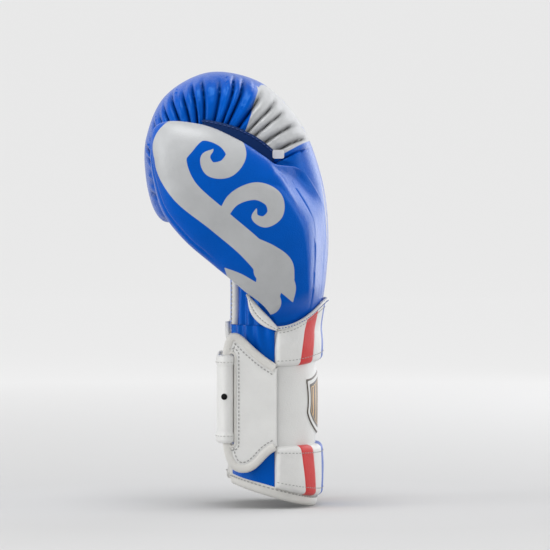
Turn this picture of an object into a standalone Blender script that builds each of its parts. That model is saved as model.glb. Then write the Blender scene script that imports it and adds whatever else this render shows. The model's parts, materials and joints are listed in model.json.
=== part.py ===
"""Right-hand boxing glove with a locked thumb and a hook-and-loop wrist.

Frame: +Z runs from the cuff to the knuckles, +X is the back of the hand, -X the palm,
-Y the thumb side and +Y the little-finger side. The origin is the centre of the cuff mouth.
Lengths below are in millimetres; MM turns them into Blender's metres.
"""

import math

import bmesh
import bpy
import numpy as np

MM = 0.001

# ---------------------------------------------------------------- driving dimensions
GAP = 0.5                 # clearance between neighbouring layers
LEATHER = 1.6             # thickness of the leather skins
LINING = 1.0              # thickness of the fabric linings

CUFF_CENTRE_X = -2.0
CUFF_HALF_DEPTH = 31.0    # palm to back
CUFF_HALF_WIDTH = 49.5    # thumb side to little-finger side
CUFF_SQUARENESS = 2.3     # superellipse exponent of the wrist
CUFF_TOP = 116.0
CUFF_SLOPE = -0.28        # the mouth drops towards the back of the hand
CUFF_MOUTH = -0.5         # height of the mouth's edge at X = 0
CUFF_WALL = 4.5
SEAM_ANGLE = 87.0         # side seams of the cuff, in degrees from the back
SEAM_GAP = 1.0
THUMB_EDGE_ANGLE = -149.0
LITTLE_EDGE_ANGLE = 167.0
BINDING_RADIUS = 2.5

PAD_THICKNESS = 5.0
UPPER_PAD = (89.0, 115.0)
LOWER_PAD_TOP = 34.0
STRIPE_THICKNESS = 0.7
BLUE_STRIPE = (-16.0, 16.0)
RED_STRIPE = (27.0, 53.0)

STRAP_WIDTH = 61.0
STRAP_HEIGHT = 66.5       # centre line of the strap above the origin
STRAP_THICKNESS = 2.0
STRAP_PALM_X = -38.2      # centre plane of the strap's outer run
STRAP_INNER_X = -35.7     # centre plane of its inner run

FLAP_HINGE = (0.7, -52.6)
FLAP_TILT = 9.0           # the strap pulls the flap in towards the palm
FLAP_THICKNESS = 3.0
SLOT = (-30.3, -25.7, 34.5, 98.5)
PEEL_HINGE = (STRAP_PALM_X, -40.0)
END_HINGE = (STRAP_PALM_X, 12.0)
HEM_WIDTH = 5.0
HEM_THICKNESS = 0.6
TAPE_THICKNESS = 1.2
STRAP_OUT = 5.0           # height of the strap's end above the cuff
STRAP_END_ANGLES = (158.0, 93.0)

# Mitt stations, wrist to fingertips: outer edge (x, z), inner edge (x, z),
# thumb-side y and little-finger-side y.
MITT_STATIONS = (
    (31.0, 119.0, -32.0, 119.0, -49.0, 49.0),
    (36.5, 150.0, -32.0, 146.0, -48.0, 53.0),
    (38.0, 184.0, -33.0, 174.0, -46.5, 57.0),
    (33.5, 219.0, -35.0, 199.0, -45.0, 60.0),
    (19.0, 256.0, -39.0, 217.0, -43.5, 61.0),
    (-9.0, 285.0, -43.5, 226.0, -41.0, 61.0),
    (-45.0, 292.5, -48.5, 227.0, -38.5, 60.0),
    (-76.0, 276.0, -53.5, 221.0, -36.0, 58.0),
    (-89.5, 247.0, -56.5, 212.0, -34.0, 56.0),
    (-90.5, 220.0, -58.0, 203.0, -33.0, 54.0),
    (-90.0, 190.0, -60.0, 185.0, -32.0, 52.0),
)
MITT_CLOSING = 0.86       # where the fingertip end starts to round over
MITT_RINGS = 20
MITT_SIDES = 24

# Thumb stations, base to tip: upper edge, lower edge, outer-face y and inner-face y.
THUMB_STATIONS = (
    (27.0, 148.0, 3.0, 128.0, -60.0, -49.6),
    (25.0, 188.0, -20.0, 141.0, -70.0, -48.6),
    (9.0, 221.0, -42.0, 160.0, -77.5, -46.6),
    (-14.0, 240.0, -61.0, 176.0, -81.5, -44.0),
    (-38.0, 253.0, -76.0, 195.0, -82.5, -41.0),
    (-56.0, 262.0, -86.0, 217.0, -81.5, -39.0),
    (-72.0, 270.0, -93.0, 238.0, -79.0, -38.0),
)
THUMB_CLOSING = 0.66
THUMB_RINGS = 12
THUMB_SIDES = 16

# The thumb's hollow: a round passage from the hand's hollow to near the thumb's tip.
THUMB_PASSAGE = (
    (2.0, -30.0, 188.0),
    (-2.0, -50.0, 190.0),
    (-14.0, -61.0, 200.0),
    (-32.0, -63.5, 212.0),
    (-50.0, -62.5, 225.0),
    (-62.0, -61.5, 234.0),
)
THUMB_PASSAGE_RADIUS = 11.0

# How deep the hand's hollow lies under the back of the glove, wrist to fingertips.
HOLLOW_DEPTHS = (7.0, 18.0, 27.0, 31.0, 32.0, 31.0, 28.0, 22.0, 14.0, 11.0)
FOAM_PALM = 5.5
FOAM_SIDES = 10.0
TIP_FOAM = 14.0
FOAM_JOINT = 0.014        # gap between two foams, as a fraction of the mitt's length


# ---------------------------------------------------------------- scene and materials
def clear_scene():
    for item in list(bpy.data.objects):
        bpy.data.objects.remove(item, do_unlink=True)


def collection(name):
    group = bpy.data.collections.new(name)
    bpy.context.scene.collection.children.link(group)
    return group


def material(name, colour, roughness, metallic=0.0):
    mat = bpy.data.materials.new(name)
    mat.use_nodes = True
    shader = mat.node_tree.nodes["Principled BSDF"]
    shader.inputs["Base Color"].default_value = (*colour, 1.0)
    shader.inputs["Roughness"].default_value = roughness
    shader.inputs["Metallic"].default_value = metallic
    mat.diffuse_color = (*colour, 1.0)
    return mat


clear_scene()
GLOVE = collection("boxing_glove")
CUTTERS = collection("cutters")

BLUE_LEATHER = material("blue_leather", (0.005, 0.09, 0.45), 0.38)
NAVY_LEATHER = material("navy_leather", (0.01, 0.03, 0.13), 0.45)
WHITE_LEATHER = material("white_leather", (0.72, 0.72, 0.70), 0.45)
RED_LEATHER = material("red_leather", (0.70, 0.04, 0.05), 0.42)
GOLD_PRINT = material("gold_print", (0.75, 0.42, 0.09), 0.40)
FOAM = material("foam", (0.30, 0.30, 0.32), 0.90)
LINING_FABRIC = material("lining_fabric", (0.03, 0.03, 0.04), 0.85)
HOOK_TAPE = material("hook_tape", (0.05, 0.05, 0.05), 0.80)
LOOP_TAPE = material("loop_tape", (0.62, 0.62, 0.60), 0.95)
BLACK_METAL = material("black_metal", (0.02, 0.02, 0.02), 0.35, 1.0)


# ---------------------------------------------------------------- joints' empties
def hinge_empty(name, xy, parent=None):
    """An empty on a vertical hinge axis; moving pieces are parented to it."""
    empty = bpy.data.objects.new(name, None)
    GLOVE.objects.link(empty)
    centre = np.array([xy[0], xy[1], STRAP_HEIGHT])
    offset = centre - (np.array(parent["centre"]) if parent else 0.0)
    empty.location = offset * MM
    if parent:
        empty.parent = parent["empty"]
    return {"empty": empty, "centre": centre}


ROOT = None
FLAP_BODY = hinge_empty("flap_axis", FLAP_HINGE)
TAIL_BODY = hinge_empty("peel_axis", PEEL_HINGE, FLAP_BODY)
END_BODY = hinge_empty("end_axis", END_HINGE, TAIL_BODY)


def place(item, body, at=(0.0, 0.0, 0.0)):
    """Links an object whose own origin stands at the world point `at`."""
    GLOVE.objects.link(item)
    position = np.array(at, dtype=float)
    if body:
        item.parent = body["empty"]
        position = position - body["centre"]
    item.location = position * MM
    return item


# ---------------------------------------------------------------- mesh helpers
def mesh_object(name, points, faces, mat, body=ROOT, smooth=40.0):
    """A mesh from world points; on a moving body its origin goes to the hinge."""
    origin = body["centre"] if body else np.zeros(3)
    mesh = bpy.data.meshes.new(name)
    mesh.from_pydata(((np.asarray(points) - origin) * MM).tolist(), [], faces)
    mesh.validate()
    mesh.shade_smooth()
    mesh.set_sharp_from_angle(angle=math.radians(smooth))
    mesh.materials.append(mat)
    return place(bpy.data.objects.new(name, mesh), body, origin)


def grid_faces(rows, columns, wrap):
    """Quads of a row-by-column grid of points, the columns closed into a ring if wrap."""
    faces = []
    for i in range(rows - 1):
        for j in range(columns if wrap else columns - 1):
            k = (j + 1) % columns
            a = i * columns
            faces.append((a + j, a + k, a + columns + k, a + columns + j))
    return faces


def solidify(item, thickness, offset=-1.0):
    shell = item.modifiers.new("thickness", "SOLIDIFY")
    shell.thickness = thickness * MM
    shell.offset = offset
    shell.use_even_offset = True
    return item


def cut(item, cutter):
    hole = item.modifiers.new("hole", "BOOLEAN")
    hole.operation = "DIFFERENCE"
    hole.solver = "EXACT"
    hole.object = cutter


def catmull(stations, t):
    """Smooth interpolation of a table of stations at the fractions t, 0 to 1."""
    rows = np.asarray(stations, dtype=float)
    last = len(rows) - 1
    x = np.clip(np.asarray(t, dtype=float), 0.0, 1.0) * last
    i = np.minimum(x.astype(int), last - 1)
    f = (x - i)[:, None]
    p1 = rows[i]
    p2 = rows[i + 1]
    p0 = np.where((i > 0)[:, None], rows[np.maximum(i - 1, 0)], 2 * p1 - p2)
    p3 = np.where((i < last - 1)[:, None], rows[np.minimum(i + 2, last)], 2 * p2 - p1)
    return 0.5 * (2 * p1 + (p2 - p0) * f + (2 * p0 - 5 * p1 + 4 * p2 - p3) * f ** 2
                  + (3 * p1 - p0 - 3 * p2 + p3) * f ** 3)


def power(value, exponent):
    return np.sign(value) * np.abs(value) ** exponent


# ---------------------------------------------------------------- padded lobes (mitt and thumb)
class Lobe:
    """A padded tube lofted through stations, open at its base and rounded at its tip."""

    def __init__(self, stations, closing, squareness):
        self.stations = stations
        self.closing = closing
        self.squareness = squareness
        middle = catmull(stations, np.linspace(0, 1, 60))
        centre = (middle[:, 0:2] + middle[:, 2:4]) / 2
        self.length = np.linalg.norm(np.diff(centre, axis=0), axis=1).sum()

    def rings(self, fractions, angles, outer=0.0, inner=0.0, sides=0.0, tip=0.0):
        """Points at the fractions along the lobe and angles around it, inset by the margins."""
        reach = 1.0 - tip / self.length
        s = np.asarray(fractions, dtype=float)
        t = s * reach
        row = catmull(self.stations, t)
        top = row[:, 0:2]
        low = row[:, 2:4]
        across = top - low
        across = across / np.linalg.norm(across, axis=1)[:, None]
        outer = np.broadcast_to(np.asarray(outer, dtype=float), s.shape)[:, None]
        inner = np.broadcast_to(np.asarray(inner, dtype=float), s.shape)[:, None]
        top = top - across * outer
        low = low + across * inner
        rounding = np.clip((s - self.closing) / (1.0 - self.closing), 0.0, 1.0)
        factor = np.sqrt(1.0 - rounding ** 2)
        centre = (top + low) / 2
        half = np.linalg.norm(top - low, axis=1) / 2 * factor
        y_low = row[:, 4] + sides
        y_high = row[:, 5] - sides
        y_mid = (y_low + y_high) / 2
        y_half = (y_high - y_low) / 2 * factor
        around = np.radians(np.asarray(angles, dtype=float))
        c = power(np.cos(around), 2 / self.squareness)
        d = power(np.sin(around), 2 / self.squareness)
        points = np.empty((len(s), len(around), 3))
        points[:, :, 0] = centre[:, 0:1] + half[:, None] * across[:, 0:1] * c
        points[:, :, 2] = centre[:, 1:2] + half[:, None] * across[:, 1:2] * c
        points[:, :, 1] = y_mid[:, None] + y_half[:, None] * d
        return points


def stations_along(count, closing):
    """Fractions that crowd together where the tip rounds over."""
    body = np.linspace(0.0, closing, count, endpoint=False)
    turn = np.linspace(0.0, 90.0, max(4, count // 4) + 1)
    return np.concatenate([body, closing + (1 - closing) * np.sin(np.radians(turn))])


def sock(lobe, fractions, angles, **inset):
    """Points and faces of a closed-ended tube; its last ring is one pole."""
    rings = lobe.rings(fractions, angles, **inset)
    columns = len(angles)
    rows = len(fractions) - 1
    points = rings[:-1].reshape(-1, 3).tolist()
    points.append(rings[-1, 0].tolist())
    faces = grid_faces(rows, columns, True)
    pole = len(points) - 1
    start = (rows - 1) * columns
    for j in range(columns):
        faces.append((start + j, start + (j + 1) % columns, pole))
    return points, faces


def foam_tip(name, lobe, fractions, angles, outside, inside, mat):
    """Padding around the closed end: one sock inside another, joined by a rim."""
    points, faces = sock(lobe, fractions, angles, **outside)
    inner_points, inner_faces = sock(lobe, fractions, angles, **inside)
    first = len(points)
    faces += [tuple(reversed([first + v for v in face])) for face in inner_faces]
    columns = len(angles)
    for j in range(columns):
        k = (j + 1) % columns
        faces.append((k, j, first + j, first + k))
    return mesh_object(name, points + inner_points, faces, mat)


def foam_slab(name, lobe, fractions, angles, outside, inside, mat):
    """Padding over part of a lobe: two open grids, one inside the other, walled all round."""
    rows = len(fractions)
    columns = len(angles)
    outer_grid = lobe.rings(fractions, angles, **outside).reshape(-1, 3)
    inner_grid = lobe.rings(fractions, angles, **inside).reshape(-1, 3)
    first = rows * columns
    faces = grid_faces(rows, columns, False)
    faces += [tuple(reversed([first + v for v in face])) for face in faces]
    border = [j for j in range(columns)]
    border += [i * columns + columns - 1 for i in range(1, rows)]
    border += [first - 1 - j for j in range(1, columns)]
    border += [i * columns for i in range(rows - 2, 0, -1)]
    for a, b in zip(border, border[1:] + border[:1]):
        faces.append((b, a, first + a, first + b))
    return mesh_object(name, np.vstack([outer_grid, inner_grid]), faces, mat)


def lobe_panel(name, lobe, fractions, angles, mat, depth=0.0, thickness=LEATHER):
    """A leather skin over part of a lobe, an open grid thickened inwards."""
    rings = lobe.rings(fractions, angles, outer=depth, inner=depth, sides=depth)
    faces = grid_faces(len(fractions), len(angles), False)
    panel = mesh_object(name, rings.reshape(-1, 3), faces, mat)
    return solidify(panel, thickness)


# ---------------------------------------------------------------- cuff helpers
def cuff_point(angle, out, z):
    around = math.radians(angle)
    x = CUFF_CENTRE_X + (CUFF_HALF_DEPTH + out) * power(math.cos(around), 2 / CUFF_SQUARENESS)
    y = (CUFF_HALF_WIDTH + out) * power(math.sin(around), 2 / CUFF_SQUARENESS)
    return (float(x), float(y), z)


def mouth_height(x):
    return CUFF_MOUTH + CUFF_SLOPE * x


def cuff_bottom(angle):
    """Lower edge of the cuff's panels, which sit on the bottom binding."""
    return mouth_height(cuff_point(angle, 0.0, 0.0)[0]) + 2 * BINDING_RADIUS + GAP


def cuff_panel(name, start, end, out, thickness, low, high, mat, steps=12, rows=2, body=ROOT):
    """Part of the wrist's ring, between two angles and two heights, thickened inwards."""
    angles = np.linspace(start, end, steps + 1)
    points = []
    for level in np.linspace(0.0, 1.0, rows + 1):
        for angle in angles:
            bottom = low(angle) if callable(low) else low
            points.append(cuff_point(angle, out, bottom + (high - bottom) * level))
    faces = grid_faces(rows + 1, steps + 1, False)
    return solidify(mesh_object(name, points, faces, mat, body), thickness)


# ---------------------------------------------------------------- curve helpers
def tube(name, points, radius, mat, body=ROOT, cyclic=False, coll=None):
    """A cord, piping or bar: a polyline with a round section and filled caps."""
    origin = body["centre"] if body else np.zeros(3)
    data = bpy.data.curves.new(name, "CURVE")
    data.dimensions = "3D"
    data.bevel_depth = radius * MM
    data.bevel_resolution = 2
    data.use_fill_caps = True
    spline = data.splines.new("POLY")
    spline.points.add(len(points) - 1)
    for slot, point in zip(spline.points, points):
        slot.co = (*((np.array(point) - origin) * MM), 1.0)
    spline.use_cyclic_u = cyclic
    if mat:
        data.materials.append(mat)
    item = bpy.data.objects.new(name, data)
    if coll:
        coll.objects.link(item)
        return item
    return place(item, body, origin)


def rounded(corners, radius, steps=4):
    """A closed outline with its corners replaced by arcs of at most the given radius."""
    result = []
    count = len(corners)
    for i in range(count):
        corner = np.array(corners[i], dtype=float)
        before = np.array(corners[i - 1]) - corner
        after = np.array(corners[(i + 1) % count]) - corner
        reach = min(radius, np.linalg.norm(before) * 0.45, np.linalg.norm(after) * 0.45)
        start = corner + before / np.linalg.norm(before) * reach
        end = corner + after / np.linalg.norm(after) * reach
        for f in np.linspace(0.0, 1.0, steps + 1):
            result.append((1 - f) ** 2 * start + 2 * f * (1 - f) * corner + f ** 2 * end)
    return result


def shrink(outline, distance):
    """An outline moved inwards by a distance; the outline runs anticlockwise."""
    points = np.array(outline)
    edge = np.roll(points, -1, axis=0) - np.roll(points, 1, axis=0)
    edge = edge / np.linalg.norm(edge, axis=1)[:, None]
    return points + np.stack([-edge[:, 1], edge[:, 0]], axis=1) * distance


def plate(name, outlines, thickness, centre, turn, mat, body=ROOT):
    """A flat sheet from closed outlines in its own plane, the later ones being holes."""
    data = bpy.data.curves.new(name, "CURVE")
    data.dimensions = "2D"
    data.fill_mode = "BOTH"
    data.extrude = thickness / 2 * MM
    for outline in outlines:
        spline = data.splines.new("POLY")
        spline.points.add(len(outline) - 1)
        for slot, point in zip(spline.points, outline):
            slot.co = (point[0] * MM, point[1] * MM, 0.0, 1.0)
        spline.use_cyclic_u = True
    data.materials.append(mat)
    item = bpy.data.objects.new(name, data)
    place(item, body, centre)
    item.rotation_euler = turn
    return item


def ribbon(name, path, low, high, thickness, mat, body=ROOT):
    """A band standing on edge along a path seen from above."""
    points = [(x, y, z) for z in (low, (low + high) / 2, high) for x, y in path]
    band = mesh_object(name, points, grid_faces(3, len(path), False), mat, body)
    return solidify(band, thickness, 0.0)


# ---------------------------------------------------------------- mitt
def make_passage(radius):
    """The round way from the hand's hollow into the thumb, as a closed cutter."""
    fractions = np.linspace(0, 1, 12)
    points = catmull(THUMB_PASSAGE, fractions)
    curve = tube("passage_curve", points, radius, None, coll=CUTTERS)
    bpy.context.view_layer.update()
    graph = bpy.context.evaluated_depsgraph_get()
    mesh = bpy.data.meshes.new_from_object(curve.evaluated_get(graph))
    work = bmesh.new()
    work.from_mesh(mesh)
    bmesh.ops.remove_doubles(work, verts=work.verts, dist=0.00001)
    work.to_mesh(mesh)
    work.free()
    cutter = bpy.data.objects.new("thumb_passage_cutter", mesh)
    cutter.matrix_world = curve.matrix_world
    CUTTERS.objects.link(cutter)
    bpy.data.objects.remove(curve, do_unlink=True)
    cutter.hide_render = True
    cutter.display_type = "WIRE"
    return cutter


def hollow_depth(fractions):
    return catmull([[depth] for depth in HOLLOW_DEPTHS], fractions)[:, 0]


def make_mitt(passage):
    mitt = Lobe(MITT_STATIONS, MITT_CLOSING, 2.4)
    along = stations_along(MITT_RINGS, MITT_CLOSING)
    around = np.arange(MITT_SIDES) * 360.0 / MITT_SIDES
    step = 360.0 / MITT_SIDES
    panels_end = MITT_RINGS - 1

    skin_along = along[:panels_end + 1]
    seam = 7 * step
    edge = 1.5
    back = [-seam + edge] + [j * step for j in range(-6, 7)] + [seam - edge]
    palm = [seam + edge] + [seam + j * step for j in range(1, 10)] + [360 - seam - edge]
    back_shell = lobe_panel("back_shell", mitt, skin_along, back, BLUE_LEATHER)
    palm_shell = lobe_panel("palm_shell", mitt, skin_along, palm, BLUE_LEATHER)

    tip_along = along[panels_end:].copy()
    tip_along[0] += 0.004
    points, faces = sock(mitt, tip_along, around)
    solidify(mesh_object("fingertip_panel", points, faces, BLUE_LEATHER), LEATHER)

    under = LEATHER + 1.5 * GAP
    palm_angles = [palm[0] + edge] + palm[1:-1] + [palm[-1] - edge]
    foams = []
    for name, first, last, angles in (("hand_back_foam", 0, 7, back),
                                      ("knuckle_foam", 7, 16, back),
                                      ("palm_foam", 0, 8, palm_angles),
                                      ("finger_foam", 8, 16, palm_angles),
                                      ("fingertip_foam", 16, len(along) - 1, around)):
        part = along[first:last + 1].copy()
        if first:
            part[0] += FOAM_JOINT
        covered = {"outer": under, "inner": under + GAP, "sides": under, "tip": under}
        hollow = {"outer": hollow_depth(part), "inner": under + FOAM_PALM,
                  "sides": under + FOAM_SIDES, "tip": TIP_FOAM}
        make = foam_tip if name == "fingertip_foam" else foam_slab
        foams.append(make(name, mitt, part, angles, covered, hollow, FOAM))

    lined = {"outer": hollow_depth(along) + 2 * GAP, "inner": under + FOAM_PALM + GAP,
             "sides": under + FOAM_SIDES + GAP, "tip": TIP_FOAM + GAP}
    points, faces = sock(mitt, along, around, **lined)
    liner = solidify(mesh_object("hand_liner", points, faces, LINING_FABRIC), LINING)

    for item in (back_shell, palm_shell, liner, *foams):
        cut(item, passage)
    tube("grip_bar", [(-46.0, -30.0, 205.0), (-46.5, 10.0, 205.5), (-46.0, 48.0, 205.0)], 6.5,
         NAVY_LEATHER)


def make_thumb(passage):
    thumb = Lobe(THUMB_STATIONS, THUMB_CLOSING, 2.2)
    along = stations_along(THUMB_RINGS, THUMB_CLOSING)
    step = 360.0 / THUMB_SIDES
    around = np.arange(THUMB_SIDES) * step
    seam_ring = THUMB_RINGS

    # The outer panel faces the thumb side (-90 degrees) and wraps over the tip.
    points, faces = sock(thumb, along, around)
    quads = (len(along) - 2) * THUMB_SIDES
    half = THUMB_SIDES // 2
    outer_faces = [f for i, f in enumerate(faces)
                   if i >= quads or i // THUMB_SIDES >= seam_ring or i % THUMB_SIDES >= half]
    used = sorted({v for f in outer_faces for v in f})
    index = {v: i for i, v in enumerate(used)}
    outer = mesh_object("thumb_outer_panel", [points[v] for v in used],
                        [tuple(index[v] for v in f) for f in outer_faces], BLUE_LEATHER)
    solidify(outer, LEATHER)

    inner_along = along[:seam_ring + 1].copy()
    inner_along[-1] -= 0.006
    inner_angles = np.linspace(step, 180.0 - step, half - 1)
    inner = lobe_panel("thumb_inner_panel", thumb, inner_along, inner_angles, BLUE_LEATHER)

    under = LEATHER + GAP
    points, faces = sock(thumb, along, around, outer=2 * under, inner=2 * under, sides=under,
                         tip=2 * under)
    faces.append(tuple(reversed(range(THUMB_SIDES))))
    foam = mesh_object("thumb_foam", points, faces, FOAM)
    for item in (inner, foam):
        cut(item, passage)

    make_thumb_liner()


def make_thumb_liner():
    """The thumb's fabric sleeve: a round tube open to the hand's hollow, closed at its tip."""
    radius = THUMB_PASSAGE_RADIUS - 3 * GAP
    sides = 12
    path = catmull(THUMB_PASSAGE, np.linspace(0.22, 0.97, 9))
    ahead = np.gradient(path, axis=0)
    ahead = ahead / np.linalg.norm(ahead, axis=1)[:, None]
    points = []
    for centre, forward in zip(path, ahead):
        side = np.cross(forward, (0.0, 0.0, 1.0))
        side = side / np.linalg.norm(side)
        up = np.cross(side, forward)
        for j in range(sides):
            turn = 2 * math.pi * j / sides
            points.append(centre + radius * (math.cos(turn) * side + math.sin(turn) * up))
    faces = [tuple(reversed(face)) for face in grid_faces(len(path), sides, True)]
    last = (len(path) - 1) * sides
    faces.append(tuple(last + j for j in reversed(range(sides))))
    liner = mesh_object("thumb_liner", points, faces, LINING_FABRIC)
    work = bmesh.new()
    work.from_mesh(liner.data)
    volume = work.calc_volume(signed=True)
    if volume < 0:
        bmesh.ops.reverse_faces(work, faces=work.faces)
    work.to_mesh(liner.data)
    work.free()
    solidify(liner, LINING)


def make_thumb_trim():
    tube("thumb_lock_strip", [(-44.0, -47.5, 266.0), (-30.0, -48.5, 261.0), (-15.0, -50.5, 252.0),
                              (-2.0, -53.0, 242.0)], 2.4, NAVY_LEATHER)
    plate("lock_tack", [rounded([(-4, -3), (4, -3), (4, 3), (-4, 3)], 1.5)], 1.6,
          (3.0, -54.5, 236.0), (math.radians(90), 0.0, 0.0), WHITE_LEATHER)
    wedge = rounded([(-18.0, 139.0), (-15.5, 124.0), (-8.0, 117.5), (1.5, 114.5), (3.0, 122.0),
                     (-8.0, 130.0)], 3.0)
    plate("thumb_base_wedge", [wedge], 1.4, (0.0, -52.0, 0.0), (math.radians(90), 0.0, 0.0),
          WHITE_LEATHER)


# ---------------------------------------------------------------- cuff
def make_cuff():
    cuff_panel("cuff_back_panel", -SEAM_ANGLE + SEAM_GAP, SEAM_ANGLE - SEAM_GAP, 0.0, CUFF_WALL, cuff_bottom,
               CUFF_TOP, WHITE_LEATHER, steps=20)
    cuff_panel("side_panel_thumb", THUMB_EDGE_ANGLE, -SEAM_ANGLE - SEAM_GAP, 0.0, CUFF_WALL,
               cuff_bottom, CUFF_TOP, BLUE_LEATHER, steps=8)
    cuff_panel("side_panel_little", SEAM_ANGLE + SEAM_GAP, LITTLE_EDGE_ANGLE, 0.0, CUFF_WALL,
               cuff_bottom, CUFF_TOP, WHITE_LEATHER, steps=10)
    cuff_panel("cuff_liner", THUMB_EDGE_ANGLE, LITTLE_EDGE_ANGLE, -CUFF_WALL - GAP, LINING,
               cuff_bottom, CUFF_TOP, LINING_FABRIC, steps=36)

    edge_depth = -CUFF_WALL / 2
    angles = np.linspace(THUMB_EDGE_ANGLE, LITTLE_EDGE_ANGLE, 41)
    rim = []
    for angle in angles:
        x, y, _ = cuff_point(angle, edge_depth, 0.0)
        rim.append((x, y, mouth_height(cuff_point(angle, 0.0, 0.0)[0]) + BINDING_RADIUS))
    tube("mouth_binding", rim, BINDING_RADIUS, WHITE_LEATHER)

    for name, angle, away in (("palm_binding_thumb", THUMB_EDGE_ANGLE, -5.4),
                              ("palm_binding_little", LITTLE_EDGE_ANGLE, 5.0)):
        x, y, _ = cuff_point(angle + away, edge_depth, 0.0)
        tube(name, [(x, y, cuff_bottom(angle) + 0.5), (x, y, CUFF_TOP - 1.0)], 2.0, WHITE_LEATHER)


def make_wrist_pads():
    pad_out = PAD_THICKNESS + GAP
    stripe_out = pad_out + GAP + STRIPE_THICKNESS

    def lower_start(angle):
        return cuff_bottom(angle) + 1.0

    heights = {"upper": (UPPER_PAD[0], UPPER_PAD[1]), "lower": (lower_start, LOWER_PAD_TOP)}
    for level, (low, high) in heights.items():
        cuff_panel(f"{level}_wrist_pad", -78.0, 78.0, pad_out, PAD_THICKNESS, low, high,
                   WHITE_LEATHER, steps=20)

        def stripe_low(angle, low=low):
            return (low(angle) if callable(low) else low) + 1.5

        stripes = (("blue_stripe", BLUE_STRIPE, BLUE_LEATHER),
                   ("red_stripe_little", RED_STRIPE, RED_LEATHER),
                   ("red_stripe_thumb", (-RED_STRIPE[1], -RED_STRIPE[0]), RED_LEATHER))
        for name, (start, end), mat in stripes:
            cuff_panel(f"{name}_{level}", start, end, stripe_out, STRIPE_THICKNESS, stripe_low,
                       high - 1.5, mat, steps=4)


def make_badge():
    """A plain shield on the back of the cuff, between the wrist pads."""
    field = rounded([(-13.0, 18.0), (-13.0, -4.0), (0.0, -20.0), (13.0, -4.0), (13.0, 18.0)], 4.0)
    face_x = CUFF_CENTRE_X + CUFF_HALF_DEPTH
    turn = (math.radians(90), 0.0, math.radians(90))
    plate("badge_field", [field], 1.0, (face_x + 1.0, 0.0, 62.0), turn, NAVY_LEATHER)
    border = shrink(field, -3.0)
    plate("badge_border", [border, shrink(field, -0.4)], 1.6, (face_x + 1.2, 0.0, 62.0), turn,
          GOLD_PRINT)


# ---------------------------------------------------------------- buckle flap
def flap_xy(along, out):
    """World x, y of a point on the flap: distance from its hinge towards the palm, and outwards."""
    tilt = math.radians(FLAP_TILT)
    x = FLAP_HINGE[0] - along * math.cos(tilt) - out * math.sin(tilt)
    y = FLAP_HINGE[1] + along * math.sin(tilt) - out * math.cos(tilt)
    return (x, y)


def make_flap():
    edge = 2.0 * 2 + GAP
    outline = rounded([(-1.0, 34.5), (-1.0, 89.0), (-27.5, 112.5), (-35.5, 103.0), (-35.5, 25.0),
                       (-29.5, 16.0), (-22.5, 16.0)], 8.0, steps=3)
    turn = (math.radians(90), 0.0, math.radians(-FLAP_TILT))
    centre = (*FLAP_HINGE, 0.0)
    outline = outline[::-1]
    x0, x1, z0, z1 = SLOT
    rim_width = 1.2
    slot = rounded([(x0, z0), (x1, z0), (x1, z1), (x0, z1)], 2.0)
    rim = rounded([(x0 - rim_width, z0 - rim_width), (x1 + rim_width, z0 - rim_width),
                   (x1 + rim_width, z1 + rim_width), (x0 - rim_width, z1 + rim_width)], 3.0)
    grow = rim_width + GAP
    hole = rounded([(x0 - grow, z0 - grow), (x1 + grow, z0 - grow), (x1 + grow, z1 + grow),
                    (x0 - grow, z1 + grow)], 3.5)
    panel = [(x - FLAP_HINGE[0], z) for x, z in shrink_towards(outline, edge * 0.45)]
    shift = [[(x - FLAP_HINGE[0], z) for x, z in ring] for ring in (hole, rim, slot)]
    plate("flap_panel", [panel, shift[0]], FLAP_THICKNESS, centre, turn, WHITE_LEATHER, FLAP_BODY)
    plate("slot_rim", [shift[1], shift[2]], FLAP_THICKNESS + 0.8, centre, turn, WHITE_LEATHER,
          FLAP_BODY)
    border = [(*flap_xy(FLAP_HINGE[0] - x, 0.0), z) for x, z in outline]
    tube("flap_binding", border, 1.6, WHITE_LEATHER, FLAP_BODY, cyclic=True)


def shrink_towards(outline, distance):
    """The outline moved inwards, whichever way round it runs."""
    points = np.array(outline)
    area = np.sum(points[:, 0] * np.roll(points[:, 1], -1) - points[:, 1] * np.roll(points[:, 0], -1))
    return shrink(points, distance if area > 0 else -distance)


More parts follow.
